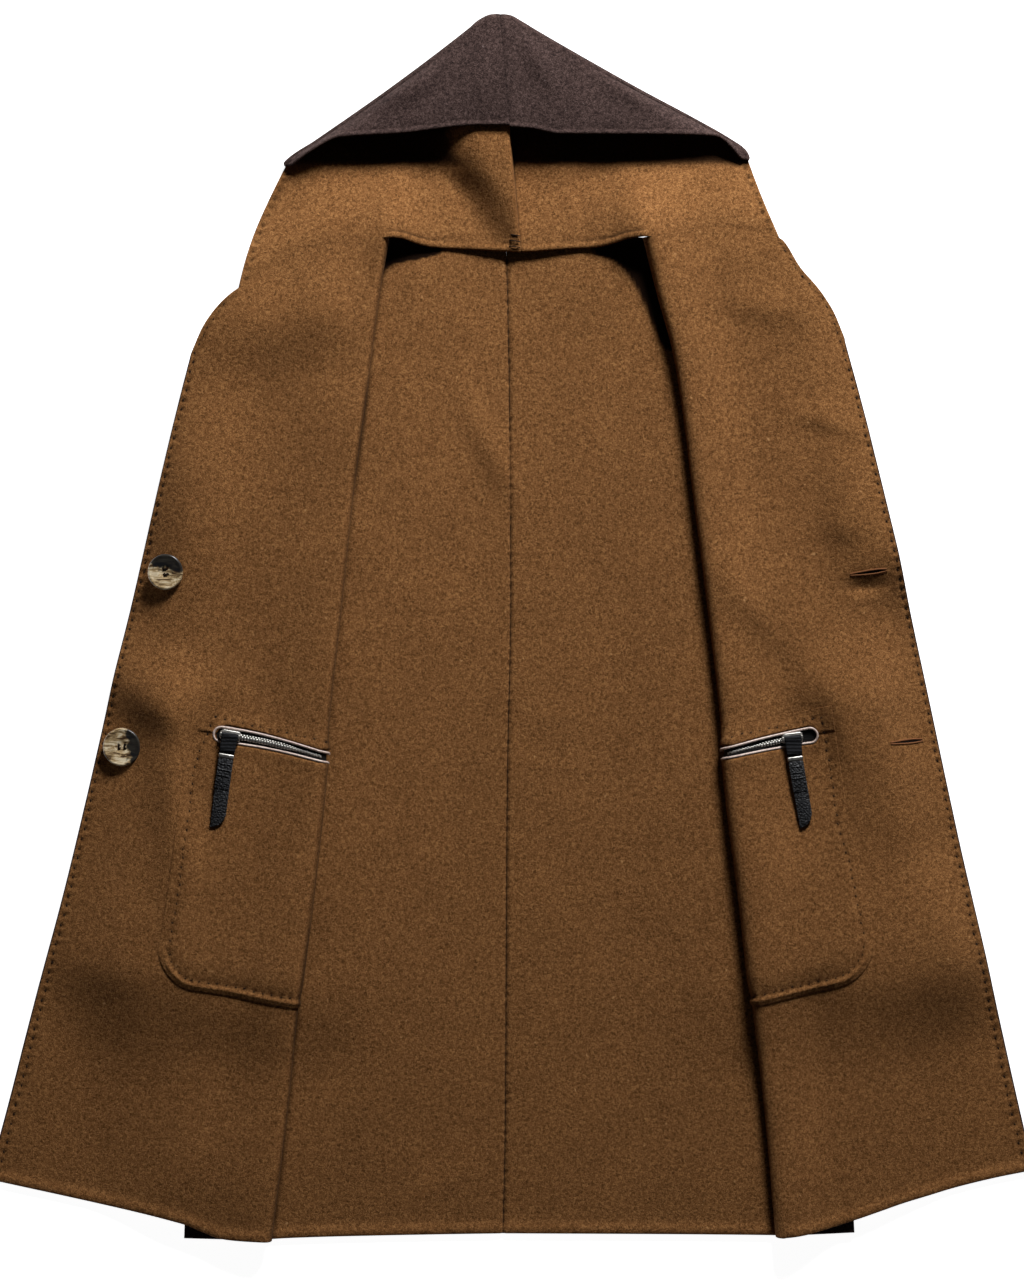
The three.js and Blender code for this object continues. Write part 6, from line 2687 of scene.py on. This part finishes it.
LEFT_MOUTH = Mouth(LEFT_FRONT, outer=(251.8, 440.4), bend=(205, 434.5), fold=(158, 419), slider=243.8)
RIGHT_MOUTH = Mouth(RIGHT_FRONT, outer=(258.6, 439.8), bend=(212, 432), fold=(178, 422), slider=246.9)
LEFT_POCKET = PocketPatch(
    front=LEFT_FRONT,
    mouth=LEFT_MOUTH,
    area=0.030,
    side=Line(((252, 306), (304, 297.5), (357, 291), (409, 284.5), (466, 263))),
    foot=Line(((130, 193), (186, 203), (210, 207), (245, 214), (306, 223))),
    top=Line(((130, 436), (265, 466))),
)
RIGHT_POCKET = PocketPatch(
    front=RIGHT_FRONT,
    mouth=RIGHT_MOUTH,
    area=0.027,
    side=Line(((258, 314), (289, 309), (331, 300), (357, 292.5), (409, 285), (466, 276))),
    foot=Line(((150, 190), (207, 204.5), (227, 209), (257, 216), (286, 222.5), (314, 229))),
    top=Line(((150, 439), (277, 466))),
)
BUTTONS = (
    Button("upper", LEFT_FRONT, out=299.0, y=581.0, turn=98.0, towards=84.0, dark_from=0.14),
    Button("lower", LEFT_FRONT, out=337.7, y=429.0, turn=2.0, towards=6.0, dark_from=0.24, radius=16.6),
)
BUTTONHOLES = (
    Buttonhole("upper", RIGHT_FRONT, start=(292.3, 578.6), end=(323.6, 583.0)),
    Buttonhole("lower", RIGHT_FRONT, start=(327.0, 432.6), end=(356.0, 435.0)),
)


def on_front(front: FrontPanel, sunk: float) -> Callable[[Points, Points], tuple[Points, Points]]:
    """Lays places in plan on a front's face.

    Args:
        front: The front.
        sunk: How far below its face they lie.

    Returns:
        A function from places in plan to points and normals.
    """

    def lay(x: Points, y: Points) -> tuple[Points, Points]:
        """Points and normals at places in plan."""
        out = front.sign * x
        normals = front.normal(front.past_of(out, y), y)
        return front.above(out, y, HALF - sunk), normals

    return lay


# ---------------------------------------------------------------- studio


@dataclass(frozen=True)
class Studio:
    """A pale floor with a glow of its own, one broad light from the hood's side, and the camera.

    The surroundings are dim, so the shade of the coat's folds comes from the one light, with shade also painted into
    the wool in folds, seams and dimples.
    """

    view_height: float = 1.114  # metres, as are all the sizes here but the centre and the sensor
    centre: tuple[float, float] = (0.0, 522.0)
    eye: float = 3.2
    sensor: float = 36.0
    floor_reach: float = 16.0
    floor_depth: float = 0.0005
    floor_tone: float = 0.9
    floor_glow: float = 0.95
    surroundings: float = 0.025
    key_place: tuple[float, float, float] = (0.62, 2.2, 1.16)
    key_target: tuple[float, float, float] = (0.0, 0.1, 0.0)
    key_size: float = 0.62
    key_power: float = 100.0  # watts

    def floor(self) -> None:
        """Makes the floor, just below the coat."""
        material, tree, shader = new_material("pale_floor")
        feed(tree, shader, {"Base Color": (self.floor_tone,) * 3 + (1,), "Roughness": 1.0,
                            "Emission Color": (1, 1, 1, 1), "Emission Strength": self.floor_glow})
        mesh = bpy.data.meshes.new("floor")
        corners = ((-1, -1), (1, -1), (1, 1), (-1, 1))
        reach = self.floor_reach
        mesh.from_pydata([(x * reach, y * reach, -self.floor_depth) for x, y in corners], [], [(0, 1, 2, 3)])
        mesh.materials.append(material)
        new_object("floor", mesh)

    def light(self) -> None:
        """Makes the square soft light and the dim surroundings."""
        world = bpy.data.worlds.new("studio")
        world.use_nodes = True
        feed(world.node_tree, world.node_tree.nodes["Background"], {0: (1, 1, 1, 1), 1: self.surroundings})
        bpy.context.scene.world = world
        data = bpy.data.lights.new("key", "AREA")
        data.size, data.energy = self.key_size, self.key_power
        lamp = new_object("key", data)
        lamp.location = self.key_place
        aim = Vector(self.key_target) - Vector(self.key_place)
        lamp.rotation_euler = aim.to_track_quat("-Z", "Y").to_euler()

    def build(self) -> None:
        """Makes the floor, the light and the camera."""
        self.floor()
        self.light()
        middle = metres(np.array([*self.centre, 0.0]))
        data = bpy.data.cameras.new("camera")
        data.sensor_width = self.sensor
        data.lens = self.sensor * self.eye / self.view_height
        camera = new_object("camera", data)
        camera.location = (middle[0], middle[1], self.eye)
        bpy.context.scene.camera = camera
        bpy.context.scene.view_settings.view_transform = "Standard"


def dress_fittings(finishes: Finishes) -> None:
    """Gives each fitting that the frame holds its finish.

    Args:
        finishes: The coat's finishes.
    """
    by_slot = {
        "piping": finishes.piping,
        "zip_tape": finishes.tape,
        "zip_metal": finishes.nickel,
        "pull_ribbon": finishes.ribbon,
        "pull_strap": finishes.strap,
        "horn": finishes.piping,
        "thread": finishes.thread,
        "wool_inner": finishes.wool_inner,
        "wool_outer": finishes.wool_outer,
    }
    for row in frame["record"]["subparts"]:
        node = frame["nodes"][row["node"]]
        node.data.materials.clear()
        node.data.materials.append(by_slot[row["material_slot"]])


def main() -> None:
    """Builds the coat and its studio."""
    logging.basicConfig(level=logging.INFO, format="%(message)s")
    finishes = Finishes()
    Studio().build()
    dress_fittings(finishes)
    makers = [
        LEFT_FRONT,
        RIGHT_FRONT,
        BackPanel(LEFT_FRONT, area=0.225),
        BackPanel(RIGHT_FRONT, area=0.235),
        LEFT_HOOD,
        RIGHT_HOOD,
        Sleeve(LEFT_FRONT, outer_shift=0.0, inner_shift=0.0, area=0.147),
        Sleeve(RIGHT_FRONT, outer_shift=13.0, inner_shift=21.0, area=0.135),
        LEFT_POCKET,
        RIGHT_POCKET,
        ZipOpening(LEFT_MOUTH),
        ZipOpening(RIGHT_MOUTH, tooth=(2.8, 1.9, 1.3), sinks_from=0.3),
        ZipPull(Side.LEFT),
        ZipPull(Side.RIGHT, along_bar=-4.5, strap_tip=78.5),
        *BUTTONS,
        *BUTTONHOLES,
        HandStitches("stitches_edge_left", LEFT_FRONT.stitch_line(), on_front(LEFT_FRONT, 0.85)),
        HandStitches("stitches_edge_right", RIGHT_FRONT.stitch_line(), on_front(RIGHT_FRONT, 0.85)),
        HandStitches("stitches_pocket_left", LEFT_POCKET.stitch_line(), LEFT_POCKET.on_face),
        HandStitches("stitches_pocket_right", RIGHT_POCKET.stitch_line(), RIGHT_POCKET.on_face),
        SeamThread(BackPanel(LEFT_FRONT, area=0.225)),
        BarTack(),
    ]
    for maker in makers:
        made = maker.build(finishes)
        for piece in made if isinstance(made, list) else [made]:
            log.info("%s: %d faces", piece.name, len(piece.data.polygons))


if __name__ == "__main__":
    main()
